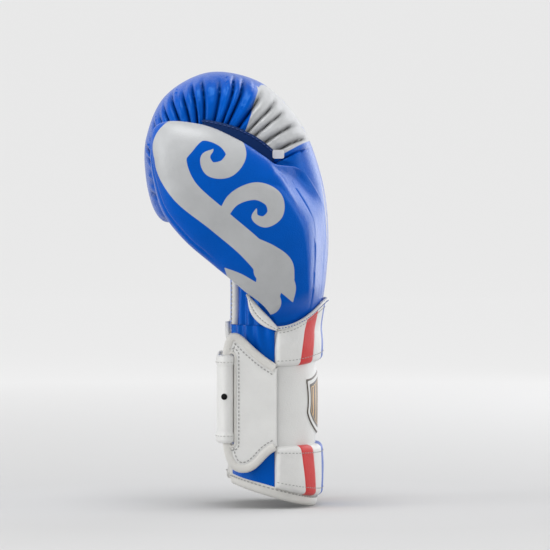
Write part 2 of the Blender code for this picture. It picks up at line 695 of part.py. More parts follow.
# ---------------------------------------------------------------- strap
def make_strap():
    low = STRAP_HEIGHT - STRAP_WIDTH / 2
    high = STRAP_HEIGHT + STRAP_WIDTH / 2
    slot_middle = FLAP_HINGE[0] - (SLOT[0] + SLOT[1]) / 2

    inside = flap_xy(slot_middle, -4.2)
    inner_path = [inside, (inside[0] - 1.2, inside[1] + 3.0), (STRAP_INNER_X + 0.8, inside[1] + 9.0),
                  (STRAP_INNER_X, inside[1] + 14.0), (STRAP_INNER_X, -10.0)]
    inner_path += [cuff_point(angle, 1.8, 0.0)[:2] for angle in (175.0, 168.0, 160.0, 152.0, 144.0)]
    ribbon("strap_inner_run", inner_path, low, high, STRAP_THICKNESS, WHITE_LEATHER)

    far = FLAP_HINGE[0] - STRAP_PALM_X - 2.2
    fold_path = [flap_xy(slot_middle, -3.6), flap_xy(slot_middle, 2.0),
                 flap_xy(slot_middle + 1.0, 4.0), flap_xy(slot_middle + 3.5, 5.0),
                 flap_xy(far - 2.0, 4.6), flap_xy(far + 1.0, 2.8), (STRAP_PALM_X - 0.6, -45.0),
                 (STRAP_PALM_X, PEEL_HINGE[1] - 1.4)]
    ribbon("strap_fold", fold_path, low, high, STRAP_THICKNESS, WHITE_LEATHER, FLAP_BODY)

    rivet_at = flap_xy(slot_middle + 4.5, 6.9)
    rivet_end = flap_xy(slot_middle + 4.5, 8.3)
    tube("strap_rivet", [(*rivet_at, STRAP_HEIGHT + 1.5), (*rivet_end, STRAP_HEIGHT + 1.5)], 1.8,
         BLACK_METAL, FLAP_BODY)

    tail_path = [(STRAP_PALM_X, y) for y in np.linspace(PEEL_HINGE[1], END_HINGE[1] - 1.0, 5)]
    ribbon("strap_tail", tail_path, low, high, STRAP_THICKNESS, WHITE_LEATHER, TAIL_BODY)

    hem_x = STRAP_PALM_X - STRAP_THICKNESS / 2 - GAP - HEM_THICKNESS / 2
    hem_path = [(hem_x, PEEL_HINGE[1] + 4.0), (hem_x, END_HINGE[1] - 4.0)]
    for name, start, end in (("strap_hem_lower", low, low + HEM_WIDTH),
                             ("strap_hem_upper", high - HEM_WIDTH, high)):
        ribbon(name, hem_path, start, end, HEM_THICKNESS, WHITE_LEATHER, TAIL_BODY)

    first, last = STRAP_END_ANGLES
    lead = [(STRAP_PALM_X, END_HINGE[1] + 1.0)]
    wrap = [cuff_point(angle, STRAP_OUT, 0.0)[:2] for angle in np.linspace(first, last, 9)]
    ribbon("strap_end", lead + wrap, low, high, STRAP_THICKNESS, WHITE_LEATHER, END_BODY)

    hook_out = STRAP_OUT - STRAP_THICKNESS / 2 - GAP
    cuff_panel("hook_patch", last + 2.0, 136.0, hook_out, TAPE_THICKNESS, low + 6.0, high - 6.0,
               HOOK_TAPE, steps=6, rows=1, body=END_BODY)
    cuff_panel("loop_patch", last - 1.0, 138.0, GAP + TAPE_THICKNESS, TAPE_THICKNESS, low + 4.0,
               high - 4.0, LOOP_TAPE, steps=6, rows=1)


PASSAGE = make_passage(THUMB_PASSAGE_RADIUS)
make_mitt(PASSAGE)
make_thumb(PASSAGE)
make_thumb_trim()
make_cuff()
make_wrist_pads()
make_badge()
make_flap()
make_strap()
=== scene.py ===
"""Looks of a right-hand boxing glove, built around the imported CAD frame.

Shapes are computed in millimetres in the frame's own axes (+Z cuff to knuckles, +X back of the
hand, -Y thumb side) and become metres when a mesh is made.
"""

import json
import math

import bmesh
import bpy
import numpy as np
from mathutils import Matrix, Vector
from mathutils.bvhtree import BVHTree


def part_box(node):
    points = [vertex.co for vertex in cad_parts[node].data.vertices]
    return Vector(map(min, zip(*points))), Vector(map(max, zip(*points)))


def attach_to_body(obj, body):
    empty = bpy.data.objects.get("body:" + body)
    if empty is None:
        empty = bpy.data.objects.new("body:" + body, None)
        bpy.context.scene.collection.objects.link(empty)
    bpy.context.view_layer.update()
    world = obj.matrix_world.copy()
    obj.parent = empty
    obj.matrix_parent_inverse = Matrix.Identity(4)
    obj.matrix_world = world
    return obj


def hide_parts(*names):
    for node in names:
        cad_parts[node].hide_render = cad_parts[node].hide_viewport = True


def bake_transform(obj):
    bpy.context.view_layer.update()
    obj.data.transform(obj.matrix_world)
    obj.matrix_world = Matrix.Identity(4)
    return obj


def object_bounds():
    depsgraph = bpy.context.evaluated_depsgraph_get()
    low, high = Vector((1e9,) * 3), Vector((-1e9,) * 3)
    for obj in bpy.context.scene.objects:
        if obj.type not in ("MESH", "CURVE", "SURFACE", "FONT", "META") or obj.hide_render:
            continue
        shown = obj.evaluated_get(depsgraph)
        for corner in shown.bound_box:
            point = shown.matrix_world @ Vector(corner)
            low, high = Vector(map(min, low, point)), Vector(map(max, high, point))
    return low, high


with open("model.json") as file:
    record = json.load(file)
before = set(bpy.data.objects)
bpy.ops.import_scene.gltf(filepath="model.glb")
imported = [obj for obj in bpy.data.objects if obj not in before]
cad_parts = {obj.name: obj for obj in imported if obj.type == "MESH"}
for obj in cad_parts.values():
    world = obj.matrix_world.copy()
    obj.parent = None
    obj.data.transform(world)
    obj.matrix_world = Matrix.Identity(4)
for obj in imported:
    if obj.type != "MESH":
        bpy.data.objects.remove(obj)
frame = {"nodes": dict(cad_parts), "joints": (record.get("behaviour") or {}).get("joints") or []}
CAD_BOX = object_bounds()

MM = 0.001


# ================================================================ numbers from the frame
def node_box(*names):
    """Lowest and highest corner of some CAD nodes, in millimetres."""
    lows, highs = zip(*(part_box(name) for name in names))
    return np.min(lows, axis=0) / MM, np.max(highs, axis=0) / MM


CUFF_LOW, CUFF_HIGH = node_box("cuff_back_panel", "side_panel_thumb", "side_panel_little")
CUFF_CENTRE_X = -2.0
CUFF_HALF_WIDTH = (CUFF_HIGH[1] - CUFF_LOW[1]) / 2
CUFF_HALF_DEPTH = CUFF_HIGH[0] - CUFF_CENTRE_X
CUFF_TOP = CUFF_HIGH[2]
CUFF_SQUARENESS = 2.3
MOUTH_SLOPE = -0.28
MOUTH_AT_ORIGIN = -0.5
PALM_EDGES = {"thumb": -151.0, "little": 168.0}  # degrees round the wrist from its back
PAD_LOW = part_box("upper_wrist_pad")[0].z / MM
LOWER_PAD_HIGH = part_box("lower_wrist_pad")[1].z / MM
STRAP_LOW, STRAP_HIGH = (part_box("strap_tail")[i].z / MM for i in (0, 1))
JOINTS = {joint["name"]: joint for joint in frame["joints"]}


def hinge_xy(name):
    """Where a hinge's upright axis stands, in millimetres."""
    position = JOINTS[name]["pos_m"]
    return np.array([position[0], position[1]]) / MM


FLAP_HINGE = hinge_xy("flap_open")
PEEL_HINGE = hinge_xy("strap_peel")
END_HINGE = hinge_xy("strap_end_bend")
FLAP_TILT = math.radians(9.0)


# ================================================================ small maths
def catmull(stations, t):
    """Smooth interpolation of a table of stations at the fractions t, 0 to 1."""
    rows = np.asarray(stations, dtype=float)
    last = len(rows) - 1
    x = np.clip(np.asarray(t, dtype=float), 0.0, 1.0) * last
    i = np.minimum(x.astype(int), last - 1)
    f = (x - i)[:, None]
    p1 = rows[i]
    p2 = rows[i + 1]
    p0 = np.where((i > 0)[:, None], rows[np.maximum(i - 1, 0)], 2 * p1 - p2)
    p3 = np.where((i < last - 1)[:, None], rows[np.minimum(i + 2, last)], 2 * p2 - p1)
    return 0.5 * (2 * p1 + (p2 - p0) * f + (2 * p0 - 5 * p1 + 4 * p2 - p3) * f ** 2
                  + (3 * p1 - p0 - 3 * p2 + p3) * f ** 3)


def power(value, exponent):
    """A power that keeps the sign, for superellipses."""
    return np.sign(value) * np.abs(value) ** exponent


def smoothstep(low, high, x):
    """0 at low, 1 at high, eased at both ends; low may be the larger."""
    f = np.clip((np.asarray(x, dtype=float) - low) / (high - low), 0.0, 1.0)
    return f * f * (3 - 2 * f)


def bell(x, width):
    """A smooth bump: 1 at x = 0 and almost nothing beyond twice the width."""
    return np.exp(-(x / width) ** 2)


def unit(vectors):
    """Vectors scaled to length 1 along the last axis."""
    return vectors / np.linalg.norm(vectors, axis=-1, keepdims=True)


def directions(path, closed=False):
    """Unit tangents at the points of a line."""
    if closed:
        return unit(np.roll(path, -1, axis=0) - np.roll(path, 1, axis=0))
    return unit(np.gradient(path, axis=0))


def grid_normals(points, wrap):
    """Unit normals of a row-by-column grid of points, the columns a closed ring if wrap."""
    along = np.gradient(points, axis=0)
    if wrap:
        padded = np.concatenate([points[:, -1:], points, points[:, :1]], axis=1)
        around = (padded[:, 2:] - padded[:, :-2]) / 2
    else:
        around = np.gradient(points, axis=1)
    normal = np.cross(around, along)
    length = np.linalg.norm(normal, axis=2, keepdims=True)
    return normal / np.maximum(length, 1e-9)


def soft_noise(points, size, seed, octaves=2):
    """Cheap smooth noise, about -1 to 1: a few seeded plane waves summed."""
    rng = np.random.default_rng(seed)
    total = np.zeros(points.shape[:-1])
    for octave in range(octaves):
        for _ in range(7):
            direction = unit(rng.normal(size=3))
            phase = rng.uniform(0, 2 * math.pi)
            wave = points @ direction * (2 * math.pi * 2 ** octave / size)
            total += np.sin(wave + phase) / 2 ** octave
    return total / 5.0


def stroke_distance(plane, path, widths, samples=90):
    """Distance outside a brush stroke whose half width varies along its path; inside is negative."""
    t = np.linspace(0, 1, samples)
    line = catmull(path, t)
    half = catmull([[w] for w in widths], t)[:, 0]
    flat = plane.reshape(-1, 2)
    best = np.full(len(flat), 1e9)
    for point, width in zip(line, half):
        distance = np.hypot(flat[:, 0] - point[0], flat[:, 1] - point[1]) - width
        best = np.minimum(best, distance)
    return best.reshape(plane.shape[:-1])


# ================================================================ meshes
def grid_faces(rows, columns, wrap, first=0, flip=False):
    """Quads of a row-by-column grid, the columns a closed ring if wrap."""
    faces = []
    for i in range(rows - 1):
        for j in range(columns if wrap else columns - 1):
            k = (j + 1) % columns
            a = first + i * columns
            quad = (a + j, a + k, a + columns + k, a + columns + j)
            faces.append(quad[::-1] if flip else quad)
    return faces


def mesh_piece(name, points, faces, material):
    """A shaded object from points in millimetres."""
    mesh = bpy.data.meshes.new(name)
    mesh.from_pydata((np.asarray(points).reshape(-1, 3) * MM).tolist(), [], faces)
    mesh.shade_smooth()
    mesh.set_sharp_from_angle(angle=math.radians(60.0))
    mesh.materials.append(material)
    item = bpy.data.objects.new(name, mesh)
    bpy.context.scene.collection.objects.link(item)
    return item


def store(item, name, values):
    """A number per point, which the inks of a leather, or its painted crease shade, read."""
    attribute = item.data.attributes.new(name, "FLOAT", "POINT")
    attribute.data.foreach_set("value", np.asarray(values, dtype=np.float32).ravel())


def skin(item, thickness):
    """Thickness for a cover, inwards from its outer face."""
    shell = item.modifiers.new("thickness", "SOLIDIFY")
    shell.thickness = thickness * MM


def slab_piece(name, top, bottom, material):
    """A closed pad from two grids of the same size, walled all round."""
    rows, columns = top.shape[:2]
    first = rows * columns
    faces = grid_faces(rows, columns, False)
    faces += grid_faces(rows, columns, False, first, flip=True)
    border = list(range(columns))
    border += [i * columns + columns - 1 for i in range(1, rows)]
    border += [first - 1 - j for j in range(1, columns)]
    border += [i * columns for i in range(rows - 2, 0, -1)]
    for a, b in zip(border, border[1:] + border[:1]):
        faces.append((b, a, first + a, first + b))
    points = np.concatenate([top.reshape(-1, 3), bottom.reshape(-1, 3)])
    return mesh_piece(name, points, faces, material)


def sweep(name, path, side, up, half_side, half_up, material, closed=False, sides=14,
          squareness=2.6):
    """A rounded bar swept along a path; side and up are unit vectors at each of its points."""
    path, side, up = (np.asarray(x, dtype=float) for x in (path, side, up))
    angles = np.linspace(0, 2 * math.pi, sides, endpoint=False)
    c = power(np.cos(angles), 2 / squareness) * half_side
    s = power(np.sin(angles), 2 / squareness) * half_up
    rings = (path[:, None] + c[None, :, None] * side[:, None] + s[None, :, None] * up[:, None])
    rows = len(path)
    if closed:
        rings = np.concatenate([rings, rings[:1]])
        faces = [tuple(v % (rows * sides) for v in face) for face in grid_faces(rows + 1, sides, True)]
        points = rings[:-1]
    else:
        faces = grid_faces(rows, sides, True)
        faces.append(tuple(reversed(range(sides))))
        faces.append(tuple((rows - 1) * sides + j for j in range(sides)))
        points = rings
    item = mesh_piece(name, points, faces, material)
    fix_normals(item)
    return item


def fix_normals(item):
    """Every face of a closed piece turned outwards."""
    work = bmesh.new()
    work.from_mesh(item.data)
    bmesh.ops.recalc_face_normals(work, faces=work.faces)
    work.to_mesh(item.data)
    work.free()


def resample(path, pitch, closed=False):
    """Points spaced evenly along a polyline."""
    points = np.asarray(path, dtype=float)
    if closed:
        points = np.vstack([points, points[:1]])
    lengths = np.concatenate([[0.0], np.cumsum(np.linalg.norm(np.diff(points, axis=0), axis=1))])
    count = max(2, int(round(lengths[-1] / pitch)))
    at = np.linspace(0, lengths[-1], count + 1)
    if closed:
        at = at[:-1]
    return np.stack([np.interp(at, lengths, points[:, k]) for k in range(points.shape[1])], axis=1)


def stitches(name, paths, thread, pitch=3.1, length=2.1, radius=0.38):
    """Thread along seams: each path is (points, outward normals or one normal, closed)."""
    rings = ((-0.5, 0.35), (-0.3, 0.95), (0.0, 1.1), (0.3, 0.95), (0.5, 0.35))
    sides = 6
    points = []
    faces = []
    for path, normal, closed in paths:
        path = np.asarray(path, dtype=float)
        normal = np.broadcast_to(np.asarray(normal, dtype=float), path.shape)
        both = resample(np.hstack([path, normal]), pitch, closed)
        spots, outs = both[:, :3], both[:, 3:]
        for spot, out, forward in zip(spots, outs, directions(spots, closed)):
            out = unit(out - forward * (out @ forward))
            across = np.cross(out, forward)
            first = len(points)
            for where, size in rings:
                lift = 0.12 - 1.6 * where ** 2 * radius
                for j in range(sides):
                    turn = 2 * math.pi * j / sides
                    points.append(spot + forward * where * length + out * lift
                                  + size * radius * (math.cos(turn) * across + math.sin(turn) * out))
            faces += grid_faces(len(rings), sides, True, first)
            faces.append(tuple(first + j for j in reversed(range(sides))))
            last = first + (len(rings) - 1) * sides
            faces.append(tuple(last + j for j in range(sides)))
    return mesh_piece(name, points, faces, thread)


def attach(item, body, slot, *nodes, pad=None):
    """Every piece rides on a body and hides the CAD nodes it stands for; the finish it names is not
    used.
    """
    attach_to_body(item, body)
    if nodes:
        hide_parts(*nodes)
    return item


# ================================================================ materials
def new_material(name):
    """A material with its node tree, its shader and its object coordinates."""
    mat = bpy.data.materials.new(name)
    mat.use_nodes = True
    tree = mat.node_tree
    place = tree.nodes.new("ShaderNodeTexCoord").outputs["Object"]
    return mat, tree, tree.nodes["Principled BSDF"], place


def add(tree, kind, **sockets):
    """A node with some of its settings and inputs set."""
    node = tree.nodes.new(kind)
    for key, value in sockets.items():
        if key in ("operation", "attribute_name"):
            setattr(node, key, value)
        else:
            node.inputs[key.replace("_", " ")].default_value = value
    return node


def texture(tree, place, kind, **sockets):
    """A texture node laid out by the coordinates in place."""
    node = add(tree, kind, **sockets)
    tree.links.new(place, node.inputs["Vector"])
    return node


def bump(tree, height, strength, distance, normal=None):
    """The normal left by a bump, on top of another bump's normal if given."""
    node = add(tree, "ShaderNodeBump", Strength=strength, Distance=distance)
    tree.links.new(height, node.inputs["Height"])
    if normal:
        tree.links.new(normal, node.inputs["Normal"])
    return node.outputs["Normal"]


def ramp(tree, source, low, high, start, end):
    """A number mapped from low..high to start..end."""
    node = add(tree, "ShaderNodeMapRange")
    for key, value in (("From Min", low), ("From Max", high), ("To Min", start), ("To Max", end)):
        node.inputs[key].default_value = value
    tree.links.new(source, node.inputs["Value"])
    return node.outputs["Result"]


def mix_colour(tree, factor, first, second, blend="MIX"):
    """Two colours mixed; each argument is a value or another node's output."""
    node = tree.nodes.new("ShaderNodeMix")
    node.data_type = "RGBA"
    node.blend_type = blend
    for value, socket in ((factor, node.inputs["Factor"]), (first, node.inputs["A"]),
                          (second, node.inputs["B"])):
        if isinstance(value, bpy.types.NodeSocket):
            tree.links.new(value, socket)
        elif isinstance(value, (int, float)):
            socket.default_value = value
        else:
            socket.default_value = (*value, 1.0)
    return [s for s in node.outputs if s.type == "RGBA"][0]


def leather(name, colour, roughness=0.42, grain=0.00010, grain_size=0.0011, wrinkle=0.00035,
            tint=(1.0, 1.0, 1.0), gloss=0.5, inks=(), tone=0.10, painted_crease_shade=False):
    """Leather with pebble grain, soft wrinkles and tone, and painted shade in creases if asked; inks
    are printed or sewn-in colours.

    Each ink is (attribute, colour, roughness, metallic): it covers the leather where the
    attribute, a distance in millimetres, is negative.
    """
    mat, tree, shader, place = new_material(name)
    link = tree.links.new
    clouds = texture(tree, place, "ShaderNodeTexNoise", Scale=38.0, Detail=4.0, Roughness=0.6)
    pebbles = texture(tree, place, "ShaderNodeTexVoronoi", Scale=1.0 / grain_size, Randomness=0.9)
    fine = texture(tree, place, "ShaderNodeTexNoise", Scale=2.2 / grain_size, Detail=3.0)
    creases = texture(tree, place, "ShaderNodeTexNoise", Scale=85.0, Detail=5.0, Roughness=0.55,
                      Distortion=0.6)

    shade = ramp(tree, clouds.outputs["Fac"], 0.3, 0.7, 1.0 - tone, 1.0 + tone * 0.4)
    base = mix_colour(tree, 1.0, colour, shade, "MULTIPLY")
    rough = ramp(tree, fine.outputs["Fac"], 0.25, 0.75, roughness - 0.06, roughness + 0.06)
    metal = None
    glint = None
    for attribute, ink, ink_rough, ink_metal in inks:
        source = add(tree, "ShaderNodeAttribute", attribute_name=attribute)
        cover = ramp(tree, source.outputs["Fac"], -0.16, 0.16, 1.0, 0.0)
        base = mix_colour(tree, cover, base, mix_colour(tree, 1.0, ink, shade, "MULTIPLY"))
        mixed = tree.nodes.new("ShaderNodeMix")
        link(cover, mixed.inputs["Factor"])
        link(rough, mixed.inputs["A"])
        mixed.inputs["B"].default_value = ink_rough
        rough = mixed.outputs["Result"]
        glint = mix_colour(tree, cover, glint or tint, (1.0, 1.0, 1.0))
        if ink_metal:
            metal = ramp(tree, cover, 0.0, 1.0, 0.0, ink_metal)
    # Painted shade: the colour is multiplied down towards 0.22 where the crease attribute is high,
    # darkening the valleys of the gathers.
    if painted_crease_shade:
        source = add(tree, "ShaderNodeAttribute", attribute_name="crease")
        crease_shade_factor = ramp(tree, source.outputs["Fac"], 0.0, 1.0, 1.0, 0.22)
        base = mix_colour(tree, 1.0, base, crease_shade_factor, "MULTIPLY")
    link(base, shader.inputs["Base Color"])
    link(rough, shader.inputs["Roughness"])
    if metal:
        link(metal, shader.inputs["Metallic"])
    if glint:
        link(glint, shader.inputs["Specular Tint"])
    shader.inputs["Specular Tint"].default_value = (*tint, 1.0)
    shader.inputs["Specular IOR Level"].default_value = gloss

    normal = bump(tree, creases.outputs["Fac"], 0.7, wrinkle)
    normal = bump(tree, pebbles.outputs["Distance"], 0.8, grain, normal)
    normal = bump(tree, fine.outputs["Fac"], 0.5, grain * 0.4, normal)
    link(normal, shader.inputs["Normal"])
    return mat


def cloth(name, colour, size=0.0009, depth=0.00012, roughness=0.9):
    """Woven or brushed fabric: a wave under fuzz."""
    mat, tree, shader, place = new_material(name)
    fuzz = texture(tree, place, "ShaderNodeTexNoise", Scale=1.0 / size, Detail=4.0)
    weave = texture(tree, place, "ShaderNodeTexWave", Scale=0.3 / size, Distortion=0.8, Detail=1.0)
    shadow = tuple(0.7 * c for c in colour)
    tone = mix_colour(tree, fuzz.outputs["Fac"], shadow, colour)
    tree.links.new(tone, shader.inputs["Base Color"])
    shader.inputs["Roughness"].default_value = roughness
    shader.inputs["Sheen Weight"].default_value = 0.3
    normal = bump(tree, weave.outputs["Fac"], 0.8, depth)
    normal = bump(tree, fuzz.outputs["Fac"], 0.8, depth, normal)
    tree.links.new(normal, shader.inputs["Normal"])
    return mat


def plain(name, colour, roughness, metallic=0.0):
    """One colour with slightly uneven gloss, for thread and metal."""
    mat, tree, shader, place = new_material(name)
    shader.inputs["Base Color"].default_value = (*colour, 1.0)
    shader.inputs["Metallic"].default_value = metallic
    noise = texture(tree, place, "ShaderNodeTexNoise", Scale=900.0, Detail=3.0)
    rough = ramp(tree, noise.outputs["Fac"], 0.3, 0.7, roughness - 0.05, roughness + 0.05)
    tree.links.new(rough, shader.inputs["Roughness"])
    return mat


BLUE = (0.0, 0.082, 0.47)
SILVER = (0.47, 0.48, 0.49)
WHITE = (0.72, 0.72, 0.705)
RED = (0.62, 0.024, 0.024)
GOLD = (0.62, 0.36, 0.11)
NAVY = (0.002, 0.014, 0.075)

BLUE_GLINT = (0.10, 0.50, 1.0)
BLUE_LEATHER = leather("blue_leather", BLUE, 0.30, tint=BLUE_GLINT, gloss=0.38)
# The printed blue leather takes painted shade in its crease valleys.
PRINTED_LEATHER = leather("printed_blue_leather", BLUE, 0.30, tint=BLUE_GLINT, gloss=0.38,
                          inks=(("silver", SILVER, 0.50, 0.15),), painted_crease_shade=True)
NAVY_LEATHER = leather("navy_leather", NAVY, 0.5, tint=(0.1, 0.25, 0.6))
WHITE_LEATHER = leather("white_leather", WHITE, 0.46, wrinkle=0.0007, tone=0.05)
BINDING_LEATHER = leather("binding_leather", (0.66, 0.65, 0.62), 0.5, wrinkle=0.0005, tone=0.07)
STRIPED_LEATHER = leather("striped_leather", WHITE, 0.46, wrinkle=0.0007, tone=0.05,
                          inks=(("red", RED, 0.42, 0.0), ("blue", BLUE, 0.42, 0.0)))
BADGE_LEATHER = leather("badge_leather", WHITE, 0.46, tone=0.05,
                        inks=(("gold", (0.05, 0.035, 0.02), 0.4, 0.0), ("pale", WHITE, 0.45, 0.0),
                              ("dark", (0.05, 0.045, 0.04), 0.4, 0.0), ("mark", GOLD, 0.36, 0.3)))
LINING = cloth("lining_fabric", (0.05, 0.05, 0.055))
HOOK_TAPE = cloth("hook_tape", (0.42, 0.42, 0.41), 0.0006, 0.0003)
LOOP_TAPE = cloth("loop_tape", (0.55, 0.55, 0.53), 0.0005, 0.0003, 1.0)
FOAM = cloth("foam", (0.30, 0.30, 0.32), 0.0012, 0.0002)
# The thread's grey is partly its own colour and partly painted shade of the stitch holes, so that the
# stitches show dark on white leather.
THREAD_AND_HOLE_SHADE = plain("thread_with_painted_hole_shade", (0.36, 0.36, 0.35), 0.6)
NAVY_THREAD = plain("navy_thread", (0.02, 0.05, 0.2), 0.6)
PALE_THREAD = plain("pale_thread", (0.55, 0.55, 0.53), 0.6)
BLUE_THREAD = plain("blue_thread", (0.01, 0.06, 0.32), 0.6)
BLACK_METAL = plain("black_metal", (0.015, 0.015, 0.016), 0.35, 1.0)


# ================================================================ lobes (mitt and thumb)
MITT_STATIONS = (
    (31.0, 113.0, -30.6, 113.0, -49.0, 49.0),
    (36.5, 150.0, -30.6, 146.0, -48.0, 53.0),
    (38.0, 184.0, -32.4, 174.0, -46.5, 57.0),
    (33.5, 219.0, -35.0, 199.0, -45.0, 60.0),
    (19.0, 256.0, -39.0, 217.0, -43.5, 61.0),
    (-9.0, 285.0, -43.5, 226.0, -41.0, 61.0),
    (-45.0, 292.5, -48.5, 227.0, -38.5, 60.0),
    (-76.0, 276.0, -53.5, 221.0, -36.0, 58.0),
    (-89.5, 247.0, -56.5, 212.0, -34.0, 56.0),
    (-90.5, 220.0, -58.0, 203.0, -33.0, 54.0),
    (-90.0, 190.0, -60.0, 185.0, -32.0, 52.0),
)
MITT_CLOSING = 0.86
MITT_SQUARENESS = 2.4
MITT_LENGTH = 240.0

THUMB_STATIONS = (
    (28.0, 124.0, 2.0, 118.0, -53.0, -47.0),
    (27.0, 150.0, -7.0, 131.0, -61.0, -48.0),
    (25.0, 188.0, -22.0, 143.0, -71.0, -48.0),
    (9.0, 221.0, -43.0, 160.5, -78.0, -46.0),
    (-14.0, 240.0, -61.0, 176.0, -82.0, -43.0),
    (-38.0, 253.0, -76.0, 195.0, -83.0, -40.0),
    (-56.0, 262.0, -86.0, 217.0, -82.0, -38.5),
    (-72.0, 270.0, -93.0, 238.0, -79.5, -38.0),
)
THUMB_CLOSING = 0.68
THUMB_SQUARENESS = 2.2
CROTCH = (3.0, 231.0)


def lobe_rings(stations, closing, squareness, fractions, angles):
    """Points of a padded tube that rounds over at its tip.

    Each station is x and z of the outer edge, x and z of the inner edge, and the two sides' y.
    """
    s = np.asarray(fractions, dtype=float)
    row = catmull(stations, s)
    top = row[:, 0:2]
    low = row[:, 2:4]
    across = unit(top - low)
    rounding = np.clip((s - closing) / (1.0 - closing), 0.0, 1.0)
    factor = np.sqrt(np.maximum(1.0 - rounding ** 2, 0.0))
    centre = (top + low) / 2
    half = np.linalg.norm(top - low, axis=1) / 2 * factor
    y_mid = (row[:, 4] + row[:, 5]) / 2
    y_half = (row[:, 5] - row[:, 4]) / 2 * factor
    around = np.radians(np.asarray(angles, dtype=float))
    c = power(np.cos(around), 2 / squareness)
    d = power(np.sin(around), 2 / squareness)
    points = np.empty((len(s), len(around), 3))
    points[:, :, 0] = centre[:, 0:1] + half[:, None] * across[:, 0:1] * c
    points[:, :, 2] = centre[:, 1:2] + half[:, None] * across[:, 1:2] * c
    points[:, :, 1] = y_mid[:, None] + y_half[:, None] * d
    return points


def closing_fractions(count, closing, tip_count):
    """Fractions along a lobe: even along its body, then closer and closer round its tip."""
    body = np.linspace(0.0, closing, count, endpoint=False)
    turn = np.linspace(0.0, 90.0, tip_count + 1)
    return np.concatenate([body, closing + (1 - closing) * np.sin(np.radians(turn))])


def closed_lobe(name, points):
    """A printed leather cover from a ring grid, its last ring drawn into a single pole."""
    rows, columns = points.shape[0] - 1, points.shape[1]
    flat = np.vstack([points[:-1].reshape(-1, 3), points[-1, :1]])
    faces = grid_faces(rows, columns, True)
    start = (rows - 1) * columns
    pole = len(flat) - 1
    faces += [(start + j, start + (j + 1) % columns, pole) for j in range(columns)]
    return mesh_piece(name, flat, faces, PRINTED_LEATHER)


def lobe_values(values):
    """Per-point values of a ring grid, its last ring kept once for the pole."""
    return np.concatenate([values[:-1].ravel(), values[-1, :1]])


def seam_angle(t):
    """Where the gathered seam runs on the mitt's sides, in degrees from the outer edge."""
    return 78.0 + 20.0 * smoothstep(0.30, 0.50, t)


def pleats(t, angle, seed):
    """Height, in millimetres, of the gathers that fan out from a side seam, and how much painted shade
    their valleys get.
    """
    rng = np.random.default_rng(seed)
    first, last, count = 0.36, 0.955, 22
    edges = np.linspace(first, last, count + 1)
    edges[1:-1] += rng.uniform(-0.24, 0.24, count - 1) * (last - first) / count
    reach = rng.uniform(0.78, 1.08, count + 1)
    depth = rng.uniform(0.75, 1.15, count + 1)
    away = np.clip((seam_angle(t) - angle) / 80.0, -0.3, 1.1)
    drift = 0.008 * np.sin(away * 3.4 + 14.0 * t) * away
    phase = np.interp(t + drift, edges, np.arange(count + 1), left=-0.5, right=count + 0.5)
    nearest = np.clip(np.rint(phase), 0, count).astype(int)
    valley = np.abs(phase - np.rint(phase)) * 2.0
    ridge = 1.0 - (1.0 - valley) ** 3.6
    travelled = np.maximum(away, 0.0) / reach[nearest]
    fade = 1.0 - smoothstep(0.55, 1.08, travelled)
    start = smoothstep(-0.05, 0.02, away)
    envelope = smoothstep(0.335, 0.385, t) * (1 - smoothstep(0.93, 0.97, t))
    shown = fade * start * envelope
    # The second value weights painted shade, strongest at the bottom of each valley.
    return depth[nearest] * (4.8 * ridge - 2.8) * shown, (1.0 - valley) ** 4 * shown


def crotch_wrinkles(points):
    """The pinch where the thumb meets the mitt, and the creases that run out from it."""
    away = np.hypot(points[..., 0] - CROTCH[0], points[..., 2] - CROTCH[1])
    turn = np.arctan2(points[..., 2] - CROTCH[1], points[..., 0] - CROTCH[0])
    rays = np.sin(turn * 9.0 + 1.6 * np.sin(away * 0.22))
    rays = rays * smoothstep(2, 7, away) * np.exp(-away / 12.0)
    return (0.5 * rays - 1.9 * bell(away, 8.0)) * (points[..., 1] < 0)


def make_mitt():
    """The mitt's cover: back, knuckles, fingertips and palm, gathered at both side seams."""
    along = closing_fractions(340, MITT_CLOSING, 26)
    around = np.arange(320) * 360.0 / 320
    points = lobe_rings(MITT_STATIONS, MITT_CLOSING, MITT_SQUARENESS, along, around)
    t = np.broadcast_to(along[:, None], points.shape[:2])
    signed = np.where(around > 180, around - 360, around)[None, :]
    angle = np.abs(signed) + 0 * t
    near_lift, near_valley_shade = pleats(t, angle, 11)
    far_lift, far_valley_shade = pleats(t, angle, 23)
    lift = np.where(signed < 0, near_lift, far_lift)
    crease = np.where(signed < 0, near_valley_shade, far_valley_shade)
    seam = bell(angle - seam_angle(t), 1.4)
    seam = seam * smoothstep(0.3, 0.36, t) * (1 - smoothstep(0.95, 0.99, t))
    lift -= 0.9 * seam
    near_seam = bell(angle - seam_angle(t) + 22.0, 30.0) * smoothstep(0.3, 0.45, t)
    lift += 0.30 * soft_noise(points, 60.0, 3) * smoothstep(0.1, 0.3, t)
    lift += 0.28 * soft_noise(points, 9.0, 4) * near_seam
    folds = np.sin(signed * 0.42 + 1.5 * np.sin(points[..., 2] * 0.06) + 0.8)
    folds = folds * smoothstep(-158, -146, signed) * (1 - smoothstep(-122, -104, signed))
    lift += 1.2 * folds * (1 - smoothstep(0.10, 0.24, t))
    lift = np.maximum(lift, -2.4) + crotch_wrinkles(points)
    points = points + grid_normals(points, True) * lift[..., None]
    item = closed_lobe("mitt_cover", points)

    unrolled = np.stack([t * MITT_LENGTH, np.broadcast_to(signed, t.shape) * 0.85], axis=2)
    store(item, "silver", lobe_values(print_distance(unrolled, MITT_STROKES)))
    # Painted shade: the crease attribute darkens the pleat valleys and the groove of the side seam.
    store(item, "crease", lobe_values(np.maximum(crease, 0.8 * seam)))
    skin(item, 1.5)
    attach(item, "root", "blue_leather", "back_shell", "palm_shell", "fingertip_panel", pad=0.9)
    return points


